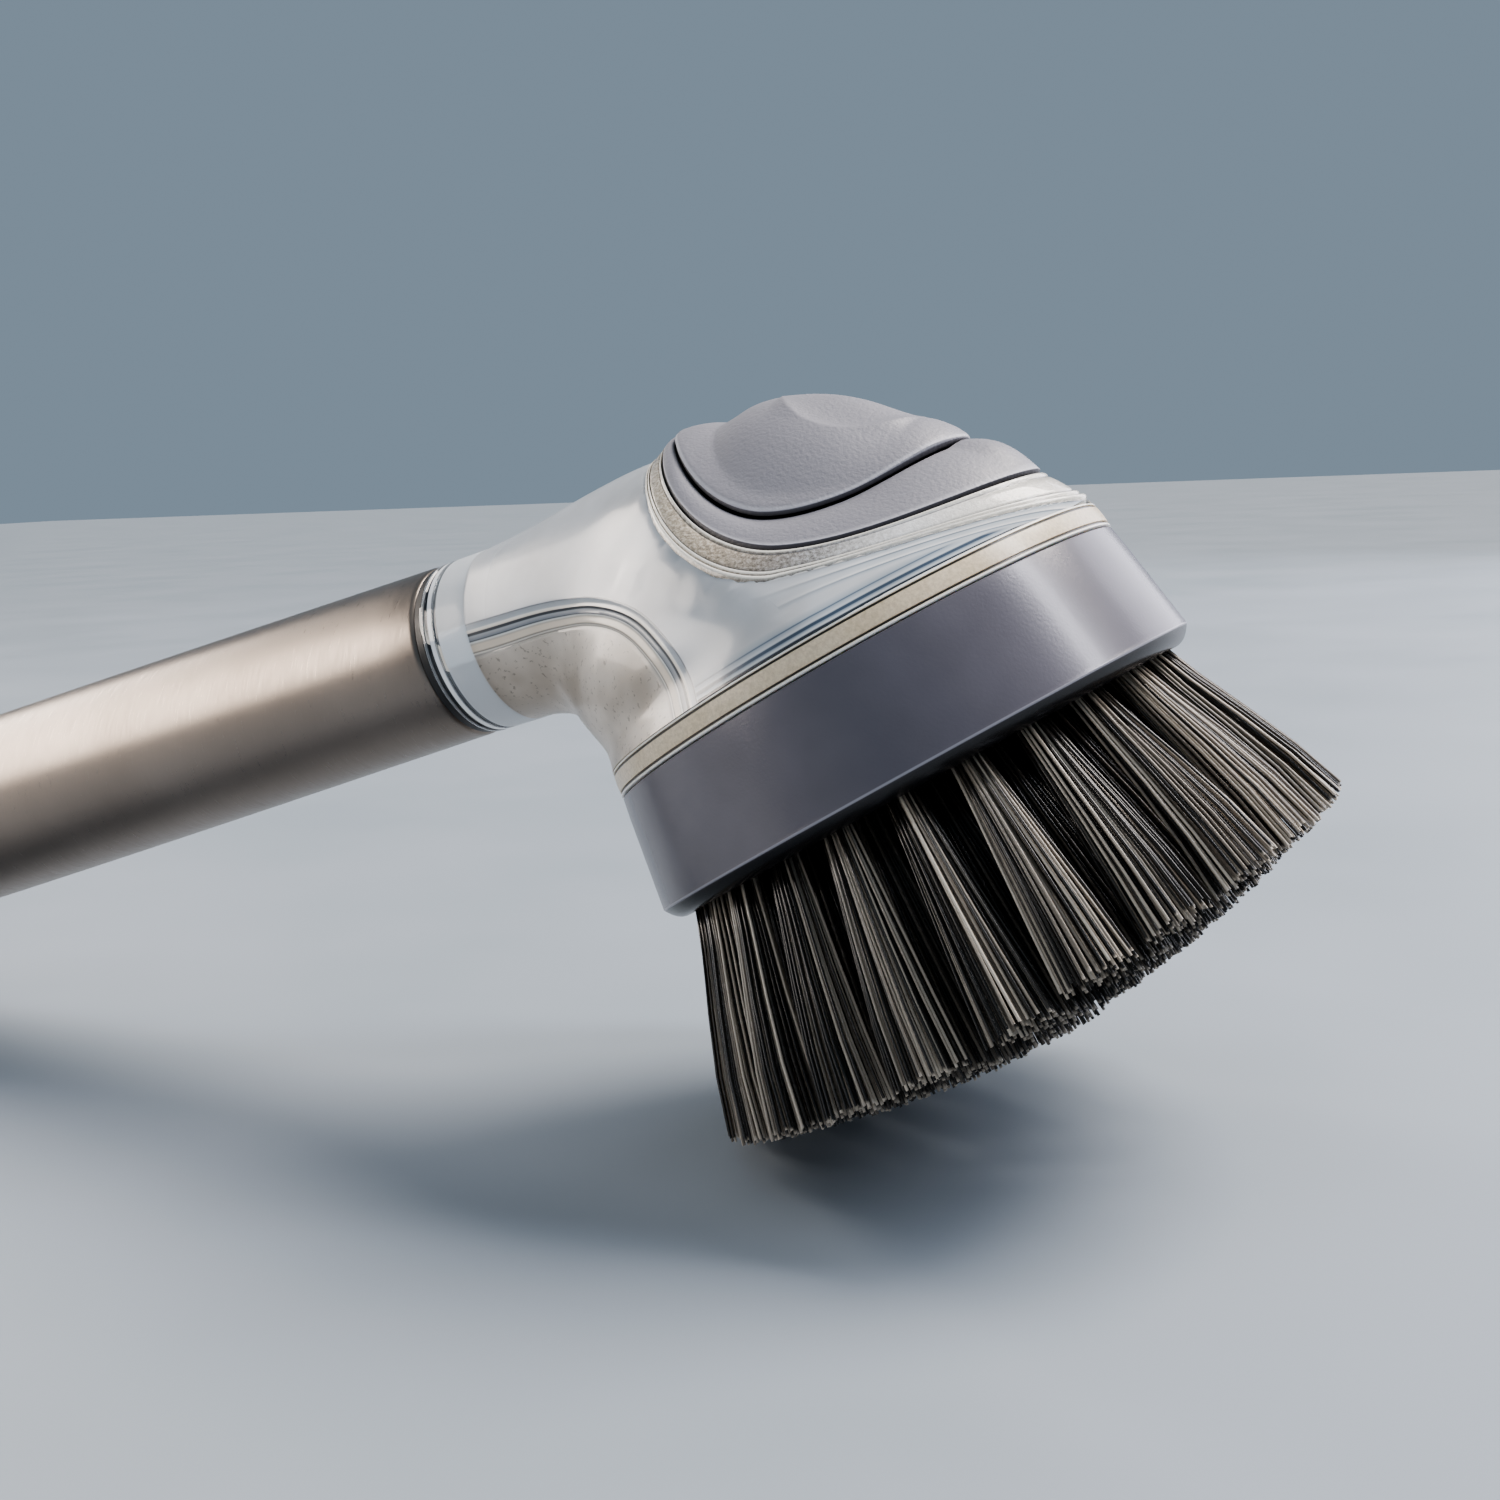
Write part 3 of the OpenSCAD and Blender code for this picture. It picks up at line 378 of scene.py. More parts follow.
# Moulded silicone seal: pale grey, 2 mm clouds
SEAL = plain_finish("moulded_silicone_seal", 2.0, "#9ea3a8", "#b2b7bb", 0.4, 0.02, IOR=1.41)
# Drawn spring wire: bright, with draw lines of 0.2 mm
WIRE = plain_finish("drawn_spring_wire", 0.2, "#b4b7bb", "#c0c3c7", 0.25, 0.005, Metallic=1.0)
# Glass-filled polypropylene with a fine leather grain of 0.55 mm: charcoal and dull
CHARCOAL = plain_finish("grained_polypropylene_charcoal", 0.55, "#2c2c30", "#38383c", 0.48, 0.05,
                        IOR=1.49)
# Moulded polypropylene plate: dark grey with 0.8 mm tool marks
PLATE = plain_finish("moulded_polypropylene_dark", 0.8, "#1a1a1c", "#252528", 0.5, 0.03, IOR=1.49)
# Moulded acetal lug: ivory white, glossy
IVORY = plain_finish("moulded_acetal_ivory", 2.0, "#efe6d8", "#f7f0e4", 0.3, 0.02, IOR=1.48)


# ---- Modelling helpers ----

def deselect():
    if bpy.context.object and bpy.context.object.mode != "OBJECT":
        bpy.ops.object.mode_set(mode="OBJECT")
    bpy.ops.object.select_all(action="DESELECT")


def select_only(piece):
    deselect()
    piece.select_set(True)
    bpy.context.view_layer.objects.active = piece


def clean(piece, merge=0.0005):
    """Merges seams and poles and turns the faces outwards."""
    select_only(piece)
    bpy.ops.object.mode_set(mode="EDIT")
    bpy.ops.mesh.select_all(action="SELECT")
    bpy.ops.mesh.remove_doubles(threshold=merge)
    bpy.ops.mesh.dissolve_degenerate(threshold=merge)
    bpy.ops.mesh.select_all(action="SELECT")
    bpy.ops.mesh.normals_make_consistent(inside=False)
    bpy.ops.object.mode_set(mode="OBJECT")


def turned(name, profile, steps=128):
    """A ring of (radius, height) points turned about Z."""
    deselect()
    bpy.ops.mesh.primitive_circle_add(vertices=len(profile), radius=1, fill_type="NOTHING")
    piece = bpy.context.object
    piece.name = name
    for vertex, (radius, height) in zip(piece.data.vertices, profile):
        vertex.co = (radius, 0, height)
    bpy.ops.object.mode_set(mode="EDIT")
    bpy.ops.mesh.select_all(action="SELECT")
    bpy.ops.mesh.spin(steps=steps, angle=2 * pi, center=(0, 0, 0), axis=(0, 0, 1))
    bpy.ops.object.mode_set(mode="OBJECT")
    clean(piece)
    return piece


def add_note(piece, name, values):
    """An attribute with a value for each vertex, which a material reads."""
    notes = piece.data.attributes.new(name, "FLOAT", "POINT").data
    for note, value in zip(notes, values):
        note.value = value


def wrapped(name, columns, rows, place_at, notes=()):
    """A grid whose vertices are placed by place_at(s, t), both 0 to 1. The notes are attributes of
    (name, function of s and t)."""
    deselect()
    bpy.ops.mesh.primitive_grid_add(x_subdivisions=columns, y_subdivisions=rows, size=2)
    piece = bpy.context.object
    piece.name = name
    spots = [((v.co.x + 1) / 2, (v.co.y + 1) / 2) for v in piece.data.vertices]
    for vertex, (s, t) in zip(piece.data.vertices, spots):
        vertex.co = place_at(s, t)
    for note, value_at in notes:
        add_note(piece, note, [value_at(s, t) for s, t in spots])
    return piece


def apply_modifier(piece, kind, **settings):
    select_only(piece)
    modifier = piece.modifiers.new(kind, kind)
    for key, value in settings.items():
        setattr(modifier, key, value)
    bpy.ops.object.modifier_apply(modifier=modifier.name)


def cut(piece, cutter):
    """Takes the cutter's shape out of the piece."""
    apply_modifier(piece, "BOOLEAN", object=cutter, solver="EXACT")
    bpy.data.objects.remove(cutter)
    clean(piece)


def set_in_place(piece, place, body, slot, material, *nodes, sharp=35):
    """Millimetres in a piece's own frame become metres in the shared frame."""
    select_only(piece)
    piece.matrix_world = place @ to_mm
    bpy.ops.object.transform_apply(location=True, rotation=True, scale=True)
    bpy.ops.object.shade_smooth_by_angle(angle=radians(sharp))
    piece.data.materials.clear()
    piece.data.materials.append(material)
    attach(piece, body)
    if nodes:
        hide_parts(*nodes)
    return piece


def smooth_at(values, t):
    """A smooth curve through evenly spaced values."""
    last = len(values) - 1
    i = min(int(t * last), last - 1)
    f = t * last - i
    a, b, c, d = values[max(i - 1, 0)], values[i], values[i + 1], values[min(i + 2, last)]
    return b + (c - a) * (f / 2) + (a - b * 2.5 + c * 2 - d / 2) * (f * f) \
        + (b * 3 - a - c * 3 + d) * (f ** 3 / 2)


def curve_at(knots, x):
    """A smooth curve through (x, y) knots."""
    x = min(max(x, knots[0][0]), knots[-1][0])
    i = max(k for k in range(len(knots) - 1) if knots[k][0] <= x)
    def slope(k):
        a, b = knots[max(k - 1, 0)], knots[min(k + 1, len(knots) - 1)]
        return (b[1] - a[1]) / (b[0] - a[0])
    (x0, y0), (x1, y1) = knots[i], knots[i + 1]
    f = (x - x0) / (x1 - x0)
    return y0 * (1 + 2 * f) * (1 - f) ** 2 + y1 * f * f * (3 - 2 * f) \
        + (x1 - x0) * f * (1 - f) * (slope(i) * (1 - f) - slope(i + 1) * f)


def blend_in(x, low, high):
    x = min(max((x - low) / (high - low), 0), 1)
    return x * x * (3 - 2 * x)


def power(x, e):
    """x to a power, with its sign kept."""
    return copysign(abs(x) ** e, x)


# ---- The clear body ----

dome_r, shell_z, crown_rise, wall_t, crease_d = 30.7, 16.2, 30.3, 2.1, 1.1
tilt = radians(13.4)
along_handle = Vector((-cos(tilt), sin(tilt)))
above_handle = Vector((sin(tilt), cos(tilt)))
mouth = Vector((-44.9, 40.4))
collar_depth, collar_r, throat_r = 7.5, 10.8, 10.75
collar_foot = mouth - along_handle * collar_depth
# Eight sections of the body, from the collar to the dome's foot: where each starts on the elbow's
# line and ends on the top line, its half width, the power that shapes it and its hood edge's angle
elbow_share = [0, 0.13, 0.33, 0.48, 0.6, 0.72, 0.87, 1]
top_share = [(-0.873, 1.05), (-0.355, 1), (0, 0.865), (0.326, 0.627), (0.664, 0.363),
             (0.928, 0.135), (1, 0)]
tops = [collar_foot + above_handle * throat_r]
tops += [Vector((x * dome_r, shell_z + z * crown_rise)) for x, z in top_share]
widths = [throat_r] + [w * dome_r for w in (0.39, 0.45, 0.57, 0.73, 0.84, 0.9, 1)]
fullness = [1, 1, 1, 0.55, 0.83, 1.6, 1.4, 1]
hood_edge = [101, 97.3, 90, 89.8, 90.8, 85.5, 79.5, 79]
edge_w = 3.8


def elbow_at(t, wall):
    """The body's low line, curved from the collar to the dome's foot."""
    start = collar_foot - above_handle * (throat_r - wall)
    end = Vector((wall - dome_r, shell_z))
    corner = Vector((end.x, start.y - (end.x - start.x) * tan(tilt)))
    return start * (1 - t) ** 2 + corner * (2 * t * (1 - t)) + end * t * t


def edge_profile(d):
    """How much of the step is left, d mm above its foot: four ledges under the hood's edge."""
    return 1 - 0.25 * blend_in(d, 0, 0.4) - 0.25 * blend_in(d, 1.4, 1.75) \
        - 0.3 * blend_in(d, 2.3, 2.65) - 0.2 * blend_in(d, 3.2, 3.7)


def body_point(t, up, side, wall, d=None):
    """A point of the clear body in the head's frame; up is the angle from the elbow to the top."""
    low, top = elbow_at(smooth_at(elbow_share, t), wall), smooth_at(tops, t)
    high = Vector((dome_r - wall, shell_z)) if t > 0.999 else top - (top - low).normalized() * wall
    width = smooth_at(widths, t) - wall
    share = max(sin(radians(up)), 0)
    reach = width * (share ** smooth_at(fullness, t) if up > 90 else share)
    edge = smooth_at(hood_edge, t)
    step = crease_d * sin(pi * min(t * 1.08, 1))
    if d is not None and d >= 0:
        reach -= step * edge_profile(d)
    elif up < edge:
        reach -= step * min(up / (edge - 8), 1) ** 2
    at = low + (high - low) * ((1 - cos(radians(up))) / 2)
    return Vector((at.x, side * reach, at.y))


def collar_point(s, up, side, radius):
    at = mouth + along_handle * s - above_handle * (radius * cos(radians(up)))
    return Vector((at.x, side * radius * sin(radians(up)), at.y))


# A section's columns: below the hood's edge, at these heights over the foot of its ledges, above it
edge_steps = [-0.5, -0.15] + [0.3 * i for i in range(13)] + [3.8, 4.1]
low_columns, high_columns = 22, 30
half_columns = low_columns + len(edge_steps) + high_columns


def column_angle(k, t):
    """The angle of a column at t, and its height above the hood's edge where it follows that."""
    edge = smooth_at(hood_edge, t)
    low, high = elbow_at(smooth_at(elbow_share, t), 0), smooth_at(tops, t)
    degree = 360 / (pi * max((high - low).length, 1))
    if k < low_columns:
        return (edge + (edge_steps[0] - edge_w) * degree) * k / low_columns, None
    if k < low_columns + len(edge_steps):
        d = edge_steps[k - low_columns]
        return edge + (d - edge_w) * degree, d
    first = edge + (edge_steps[-1] - edge_w) * degree
    share = (k - low_columns - len(edge_steps) + 1) / high_columns
    return first + (180 - first) * share, None


# The rows round the shell: (kind, place along the collar or the body, radius or wall). The collar
# has two grooves, of (distance from its mouth, depth).
collar_grooves = [
    (0.95, 0.15), (1.1, 0), (1.4, 0), (1.55, 0.2), (1.85, 0.2), (2.0, 0), (2.4, 0), (2.8, 0),
    (2.95, 0.15), (3.2, 0.15), (3.35, 0), (4.2, 0), (5.2, 0), (6.2, 0), (7.3, 0)]
outer_rows = [("collar", -s, collar_r - depth) for s, depth in collar_grooves] \
    + [("body", i / 90, 0) for i in range(91)]
inner_rows = [("body", 1 - i / 60, wall_t) for i in range(58)] + [
    ("collar", -8.7, 6.6), ("collar", -8.65, 6.6), ("collar", -7.55, 6.6), ("collar", -7.5, 6.6),
    ("collar", -7.5, 8.7), ("collar", -7.4, 8.7), ("collar", -1.0, 8.7), ("collar", -0.95, 8.75)]
rows = outer_rows + inner_rows
columns = 2 * half_columns


def column_at(s):
    k = round(s * columns) % columns
    return (k, 1) if k <= half_columns else (columns - k, -1)


def row_at(t):
    return rows[round(t * len(rows)) % len(rows)]


def shell_point(s, t):
    k, side = column_at(s)
    kind, where, size = row_at(t)
    if kind == "collar":
        return collar_point(where, column_angle(k, 0)[0], side, size)
    up, d = column_angle(k, where)
    return body_point(where, up, side, size, d if size == 0 else None)


def frost_at(s, t):
    """How milky the plastic is: clear in the collar's mouth, and less in the elbow than over it."""
    kind, where, size = row_at(t)
    if kind == "collar":
        return 0.6 if where < -3 and size > 10 else 0.0
    k, side = column_at(s)
    up, d = column_angle(k, where)
    below = 1 - blend_in(up, smooth_at(hood_edge, where) - 8, smooth_at(hood_edge, where))
    return (0.6 + 0.4 * blend_in(where, -0.01, 0.1)) * (1 - 0.3 * below)


def arch_at(s, t):
    """Place across the ledges below the hood's edge, from 0 above them to 1 below."""
    kind, where, size = row_at(t)
    k, side = column_at(s)
    if size > 0 and kind == "body" or kind == "collar" and size < 10.5:
        return 0.0
    up, d = column_angle(k, where if kind == "body" else 0)
    if d is None:
        return 1.0 if k < low_columns else 0.0
    return min(max((edge_w - d + 1) / 8, 0), 1)


def collar_at(s, t):
    """Place along the collar in centimetres from its mouth, 1 past it."""
    kind, where, size = row_at(t)
    return min(-where / 10, 1) if kind == "collar" and size > 10 else 1.0


def rise(z):
    return Vector((0, 0, z))


# The outlines round the button, in its own frame: an egg, bent down at its sides
def outline(t, u0, half_u, half_w, taper, exponent, top, drop):
    c, s = cos(t), sin(t)
    u, w = u0 + half_u * power(c, exponent), half_w * power(s, exponent) * (1 - taper * c)
    return Vector((u, w, top - drop * w * w))


land_u, land_half_u, land_half_w, land_taper, land_power = 2.28, 24.6, 23.6, 0.236, 1.185


def frosted_line(t):
    return outline(t, land_u, land_half_u, land_half_w, land_taper, land_power, -1.47, 0.017)


def land_reach(p):
    """How far out a point lies, 1 on the frosted line, and its turn on that line."""
    c, reach = power((p.x - land_u) / land_half_u, 1 / land_power), 1.0
    for _ in range(5):
        cosine = min(max(c / max(reach, 0.01), -1), 1)
        s = power(p.y / (land_half_w * (1 - land_taper * cosine)), 1 / land_power)
        reach = hypot(c, s)
    return reach, atan2(s, c)


def boot_line(t, spread=0.0):
    return outline(t, 0.5, 21.1 + spread, 20.3 + spread, 0.1, 1.08, 0.7, 0.0221)


def brim_height(u, w):
    """The brim is bent down at its sides and behind, and lifts a little at its front tip."""
    return 3.1 - 0.0298 * w * w - 0.05 * max(-15 - u, 0) ** 2 + 0.75 * blend_in(u, 5, 13.4)


def brim_line(t, share=1.0, spread=0.0):
    p = outline(t, -3.2, 16.6 * share + spread, 16.5 * share + spread, 0.02, 1.08, 0, 0)
    return Vector((p.x, p.y, brim_height(p.x, p.y)))


def prism(name, line_at_turn, low, high, turns=144):
    """An outline pulled through the shell as a cutter."""
    deselect()
    bpy.ops.mesh.primitive_cylinder_add(vertices=turns, radius=1, depth=2)
    piece = bpy.context.object
    piece.name = name
    for vertex in piece.data.vertices:
        p = line_at_turn(atan2(vertex.co.y, vertex.co.x))
        vertex.co = (p.x, p.y, low if vertex.co.z < 0 else high)
    return piece


turns = 72                          # places round the land where the hood's height is measured
hood_drop, opening_inset = 0.12, 0.9
button_low = -14                    # nothing below this height belongs to the hood round the button


def clear_shell():
    piece = wrapped("clear_shell", columns, len(rows), shell_point,
                    [("frost", frost_at), ("arch", arch_at), ("collar", collar_at)])
    clean(piece)
    # The hood's surface is drawn to the frosted line round the button
    tree = BVHTree.FromObject(piece, bpy.context.evaluated_depsgraph_get())
    drop = []
    for i in range(turns):
        p = frosted_line(2 * pi * i / turns)
        start = head_from_button @ Vector((p.x, p.y, 30))
        down = head_from_button.to_3x3() @ Vector((0, 0, -1))
        hit = tree.ray_cast(start, down)[0]
        drop.append(p.z - hood_drop - (button_from_head @ hit).z if hit else 0.0)
    for _ in range(3):
        drop = [(drop[i - 1] + 2 * drop[i] + drop[(i + 1) % turns]) / 4 for i in range(turns)]
    up = head_from_button.to_3x3() @ Vector((0, 0, 1))
    for vertex in piece.data.vertices:
        p = button_from_head @ vertex.co
        if p.z < button_low:
            continue
        reach, turn = land_reach(p)
        share = 1 - blend_in(reach, 1.05, 1.45)
        if share > 0:
            place = (turn / (2 * pi) * turns) % turns
            i = int(place)
            f = place - i
            vertex.co += up * (share * ((1 - f) * drop[i % turns] + f * drop[(i + 1) % turns]))
        if reach < 0.996:
            p = button_from_head @ vertex.co
            under = frosted_line(turn).z - hood_drop - 0.4 * blend_in(1 - reach, 0.004, 0.02)
            vertex.co += up * min(under - p.z, 0)
    cutter = prism("opening", lambda t: frosted_line(t)
                   - Vector((opening_inset * cos(t), opening_inset * sin(t), 0)), -17, 12)
    cutter.data.transform(head_from_button)
    cut(piece, cutter)
    # Distances for the plastic's painted highlight and shade lines: out from the land, and up from
    # the band
    points = [vertex.co for vertex in piece.data.vertices]
    near = [button_from_head @ p for p in points]
    add_note(piece, "rim", [
        min(max((land_reach(p)[0] - 1) * 2.3, 0), 1) if p.z > button_low else 1.0 for p in near])
    # The painted lines round the land show only towards its front
    add_note(piece, "show", [blend_in(p.x, -2, 14) for p in near])
    # The painted reflection lines above the band fade out towards the rear
    add_note(piece, "foot", [
        min(max((p.z - shell_z) / 10, 0) + 0.5 * (1 - blend_in(p.x, -24, -12)), 1) for p in points])
    return set_in_place(piece, head, "body", "clear_plastic", STYRENE, "clear_body", sharp=40)


clear_shell()

# The frosted land between the clear hood and the boot, with a bead along both edges. Its rows go
# outwards as (share of the way across, lift, line), where a line is painted shade below 0.5 and a
# painted highlight above it: shade in the grooves, highlights on the beads.
land_rows = [
    (0.0, -2.0, 0.5), (0.0, -0.35, 0.1), (0.02, -0.3, 0.1), (0.05, -0.28, 0.9),
    (0.08, -0.02, 1.0), (0.12, 0.04, 1.0), (0.16, -0.02, 0.7), (0.18, -0.16, 0.2),
    (0.21, -0.16, 0.3), (0.24, -0.06, 0.5), (0.4, 0.0, 0.5), (0.55, 0.0, 0.5), (0.68, -0.03, 0.5),
    (0.73, -0.08, 0.5), (0.745, -0.2, 0.1), (0.79, -0.2, 0.1), (0.81, 0.02, 0.9),
    (0.85, 0.08, 1.0), (0.88, 0.02, 0.9), (0.9, -0.16, 0.1), (0.93, -0.16, 0.1), (0.95, 0.04, 0.9),
    (0.99, 0.14, 1.0), (1.03, 0.14, 1.0), (1.055, 0.02, 0.7), (1.062, -0.5, 0.3), (1.0, -1.9, 0.5)]


def land_row(t):
    return land_rows[round(t * len(land_rows)) % len(land_rows)]


def land_point(s, t):
    turn = 2 * pi * s
    share, lift, line = land_row(t)
    p = boot_line(turn, 0.1).lerp(frosted_line(turn), share)
    return p + rise(lift)


def opening_land():
    piece = wrapped("opening_land", 192, len(land_rows), land_point,
                    [("edge", lambda s, t: land_row(t)[2]),
                     ("front", lambda s, t: blend_in(land_point(s, t).x, -20, 24))])
    clean(piece)
    return set_in_place(piece, button, "body", "clear_plastic", ETCHED, "clear_body", sharp=50)


opening_land()


# ---- Boot and cap ----

pump_u, pad_r, well_depth, brim_t = -3.2, 6.5, 3.3, 1.2
boot_hole_r, boot_land_r, boot_floor, boot_t = 7.9, 9.8, -1.9, 1.5


def disc(turn, radius, height):
    return Vector((pump_u + radius * cos(turn), radius * sin(turn), height))


def boot_rows(turn):
    """The boot's section at one turn: well, crown and outer edge. Its crown is fullest in front.
    boot_edges says where the section is plain (0), has a painted highlight line (about 0.4) or lies
    in painted shade (1)."""
    tip = blend_in(cos(turn), 0.96, 1)
    front = blend_in(cos(turn), 0.6, 1)
    inner = brim_line(turn, 1, 0.06) + rise(-1.05 + 0.5 * tip)
    outer = boot_line(turn) + rise(0.2)
    across = outer - inner
    bulge = 0.35 + 0.3 * front + 0.5 * tip
    well = brim_line(turn, 1, 0.06) + rise(-brim_t - well_depth)
    seat = disc(turn, boot_land_r, boot_floor)
    top = []
    for i in range(17):
        f = i / 16
        crown = bulge * sin(pi * (0.03 + 0.94 * f)) ** 0.9
        top.append(inner + across * (0.02 + 0.95 * f) + rise(crown))
    inside = [disc(turn, boot_hole_r, boot_floor - boot_t), disc(turn, boot_hole_r, boot_floor),
              seat, well.lerp(seat, 0.06), well + rise(0.3), inner - rise(0.2), inner - rise(0.02)]
    return inside + top + [outer + rise(z) for z in (0.02, -0.08, -0.45, -boot_t)] + [
        well - rise(boot_t), disc(turn, boot_land_r, boot_floor - boot_t)]


# Painted shade in the well and down the outer wall, painted highlight lines along the inner rim and
# the outer edge
boot_edges = [1.0] * 6 + [0.5, 0.1] + [0.0] * 14 + [0.05, 0.2, 0.4, 0.7] + [1.0] * 5


def button_boot():
    count = len(boot_rows(0))
    piece = wrapped("soft_boot", 200, count,
                    lambda s, t: boot_rows(2 * pi * s)[round(t * count) % count],
                    [("edge", lambda s, t: boot_edges[round(t * count) % count])])
    clean(piece)
    return set_in_place(piece, button, "body", "silicone", SILICONE, "button_boot", sharp=50)


button_boot()


thumb_line = [(-22, 0), (-16.5, 0), (-14.35, 0.1), (-12.9, 0.95), (-10.8, 2.37), (-8.1, 3.32),
              (-4.9, 3.87), (-1.55, 3.98), (1.67, 3.65), (5, 2.9), (7.5, 2.2), (9.7, 1.72),
              (11.8, 0.9), (13.2, 0.15), (14.5, 0)]
dish_u, dish_r, dish_depth = 0.3, 8.0, 2.9


def above_zero(x, softness):
    """x where it is above zero, and 0 below, with a soft corner."""
    return 0.5 * (x + sqrt(x * x + softness))


def thumb_lift(u, w):
    """Height of the thumb dome above the brim, with a fold round its foot. The round dish in its
    top has crisp sides and runs out to nothing in front and behind."""
    half_w = 14.8 * sqrt(max(1 - ((u + 3) / (17.2 if u > -3 else 11.6)) ** 2, 0.0004))
    dome = above_zero(1 - (w / half_w) ** 2, 0.003)
    far_u, far_w = ((u - dish_u) / dish_r) ** 2, (w / dish_r) ** 2
    inside = above_zero(1 - far_u - far_w, 0.0001)
    over = above_zero(1 - far_u, 0.0001) * max(1 - far_w, 0) ** 2
    return max(curve_at(thumb_line, u), 0) * dome ** 0.9 + dish_depth * (over - inside)


def cap_top(turn, share):
    p = brim_line(turn, share)
    return p + rise(thumb_lift(p.x, p.y))


cap_shares = [i / 72 for i in range(70)] + [0.975, 0.984, 0.992, 1.0]


def cap_rows(turn):
    """The cap's section at one turn: from its middle over the brim's edge to the pad inside."""
    rows_up = []
    for share in cap_shares:
        p = cap_top(turn, share)
        if share > 0.975:
            p.z -= 0.22 * ((share - 0.975) / 0.025) ** 1.5
        rows_up.append(p)
    under = [brim_line(turn, share) + rise(z) for share, z in (
        (1.0, -0.3), (0.992, -0.85), (0.985, -0.98), (0.97, -brim_t), (0.94, -brim_t))]
    under += [cap_top(turn, 0.62) + rise(-brim_t), disc(turn, pad_r, 1.4), disc(turn, 0.0, 1.4)]
    return rows_up + under


def button_cap():
    count = len(cap_rows(0)) - 1
    # A painted highlight line along the brim's upper edge, painted shade on its wall and underside
    edges = [0.0] * (len(cap_shares) - 3) + [0.1, 0.3, 0.4, 0.62] + [1.0] * 7
    piece = wrapped("thumb_cap", 224, count, lambda s, t: cap_rows(2 * pi * s)[round(t * count)],
                    [("edge", lambda s, t: edges[round(t * count)])])
    clean(piece)
    return set_in_place(piece, button, "button", "silicone", SILICONE, "button_cap", sharp=30)


button_cap()


# ---- Band and brush holder ----

holder_top_r, plate_z, holder_h, rim_r, field_r = 31.1, 13.2, 13.1, 33.0, 29.5


def outlet_band():
    """The plate under the hood; its edge is the cream band with a fine groove along both sides."""
    h = shell_z - plate_z
    side = [(0, -0.25), (0.04, -0.02), (0.1, 0), (0.13, -0.22), (0.18, -0.22), (0.21, 0),
            (0.3, 0.02), (0.5, 0.04), (0.7, 0.02), (0.8, 0), (0.83, -0.22), (0.88, -0.22),
            (0.91, 0), (0.96, -0.02), (1, -0.25)]
    edge = [(holder_top_r + (dome_r - holder_top_r) * f + out, plate_z + h * f) for f, out in side]
    profile = [(1.8, plate_z)] + edge + [(28.6, shell_z), (28.6, 15.6), (1.8, 15.6)]
    piece = turned("outlet_band", profile, 160)

    # Painted shade in the two grooves and a painted highlight on the lips at the band's edges
    def line_at(p):
        f = (p.z - plate_z) / h
        if hypot(p.x, p.y) < 30:
            return 0.5
        in_groove = 0.12 < f < 0.19 or 0.82 < f < 0.89
        return 0.1 if in_groove else 0.95 if f < 0.11 or f > 0.9 else 0.5
    add_note(piece, "edge", [line_at(vertex.co) for vertex in piece.data.vertices])
    return set_in_place(piece, head, "body", "cream_plastic", CREAM, "outlet_plate", sharp=30)


def brush_holder():
    """A cone with a crisp lower edge, rolled in below it to the bristles."""
    cone = [(holder_top_r - inward, holder_h - down)
            for inward, down in ((0.45, 0), (0.2, 0.03), (0.05, 0.14), (0, 0.4))]
    cone += [(holder_top_r + (rim_r - holder_top_r) * f, holder_h * (1 - f))
             for f in (0.2, 0.4, 0.6, 0.8, 0.96, 0.985)]
    lip = [(rim_r - inward, z) for inward, z in (
        (0, 0.1), (0.02, 0.0), (0.09, -0.1), (0.32, -0.45), (0.62, -0.85), (1.0, -1.22),
        (1.45, -1.52), (1.95, -1.68), (2.45, -1.68), (2.95, -1.55), (3.3, -1.3))]
    inside = [(field_r, -0.9), (field_r, 6.5), (28.5, 7.5), (28.5, 11.1), (14, 11.1)]
    profile = [(14, holder_h)] + cone + lip + inside
    piece = turned("brush_holder_shell", profile, 192)
    heights = [vertex.co.z for vertex in piece.data.vertices]
    # A painted highlight line at the crisp edge and painted shade on the lip below it
    add_note(piece, "edge", [
        0.0 if z > 0.15 else 0.35 if z > -0.05 else 0.6 if z > -0.2 else 1.0 for z in heights])
    return set_in_place(piece, head, "brush", "slate_plastic", ABS, "brush_holder", sharp=30)


outlet_band()
brush_holder()


# ---- Bristles ----

ring_radii = (27.6, 21.252, 15.042, 8.97)
ring_tufts = (24, 18, 14, 8)
tip_reach = 37.9187
filament_r, tuft_r, golden_angle = 0.165, 1.6, 2.399963
splay, fan_out, fan_side = 1.3, 1.8, 2.6    # how far the tips lie from the roots
tip_z, tip_dome, tip_lift = -25.6, 7, 2.4   # the brush's face: its rim, fall and rise in front
random.seed(27)


def filament(cuts, sides, radius):
    """One filament: a thin tube along Z, 1 long and capped, with rings of points at the cuts."""
    deselect()
    bpy.ops.mesh.primitive_cylinder_add(vertices=sides, radius=radius, depth=1)
    piece = bpy.context.object
    bpy.ops.object.mode_set(mode="EDIT")
    for share in cuts:
        bpy.ops.mesh.select_all(action="SELECT")
        bpy.ops.mesh.bisect(plane_co=(0, 0, share - 0.5), plane_no=(0, 0, 1))
    bpy.ops.object.mode_set(mode="OBJECT")
    mesh = piece.data.copy()
    bpy.data.objects.remove(piece)
    return mesh


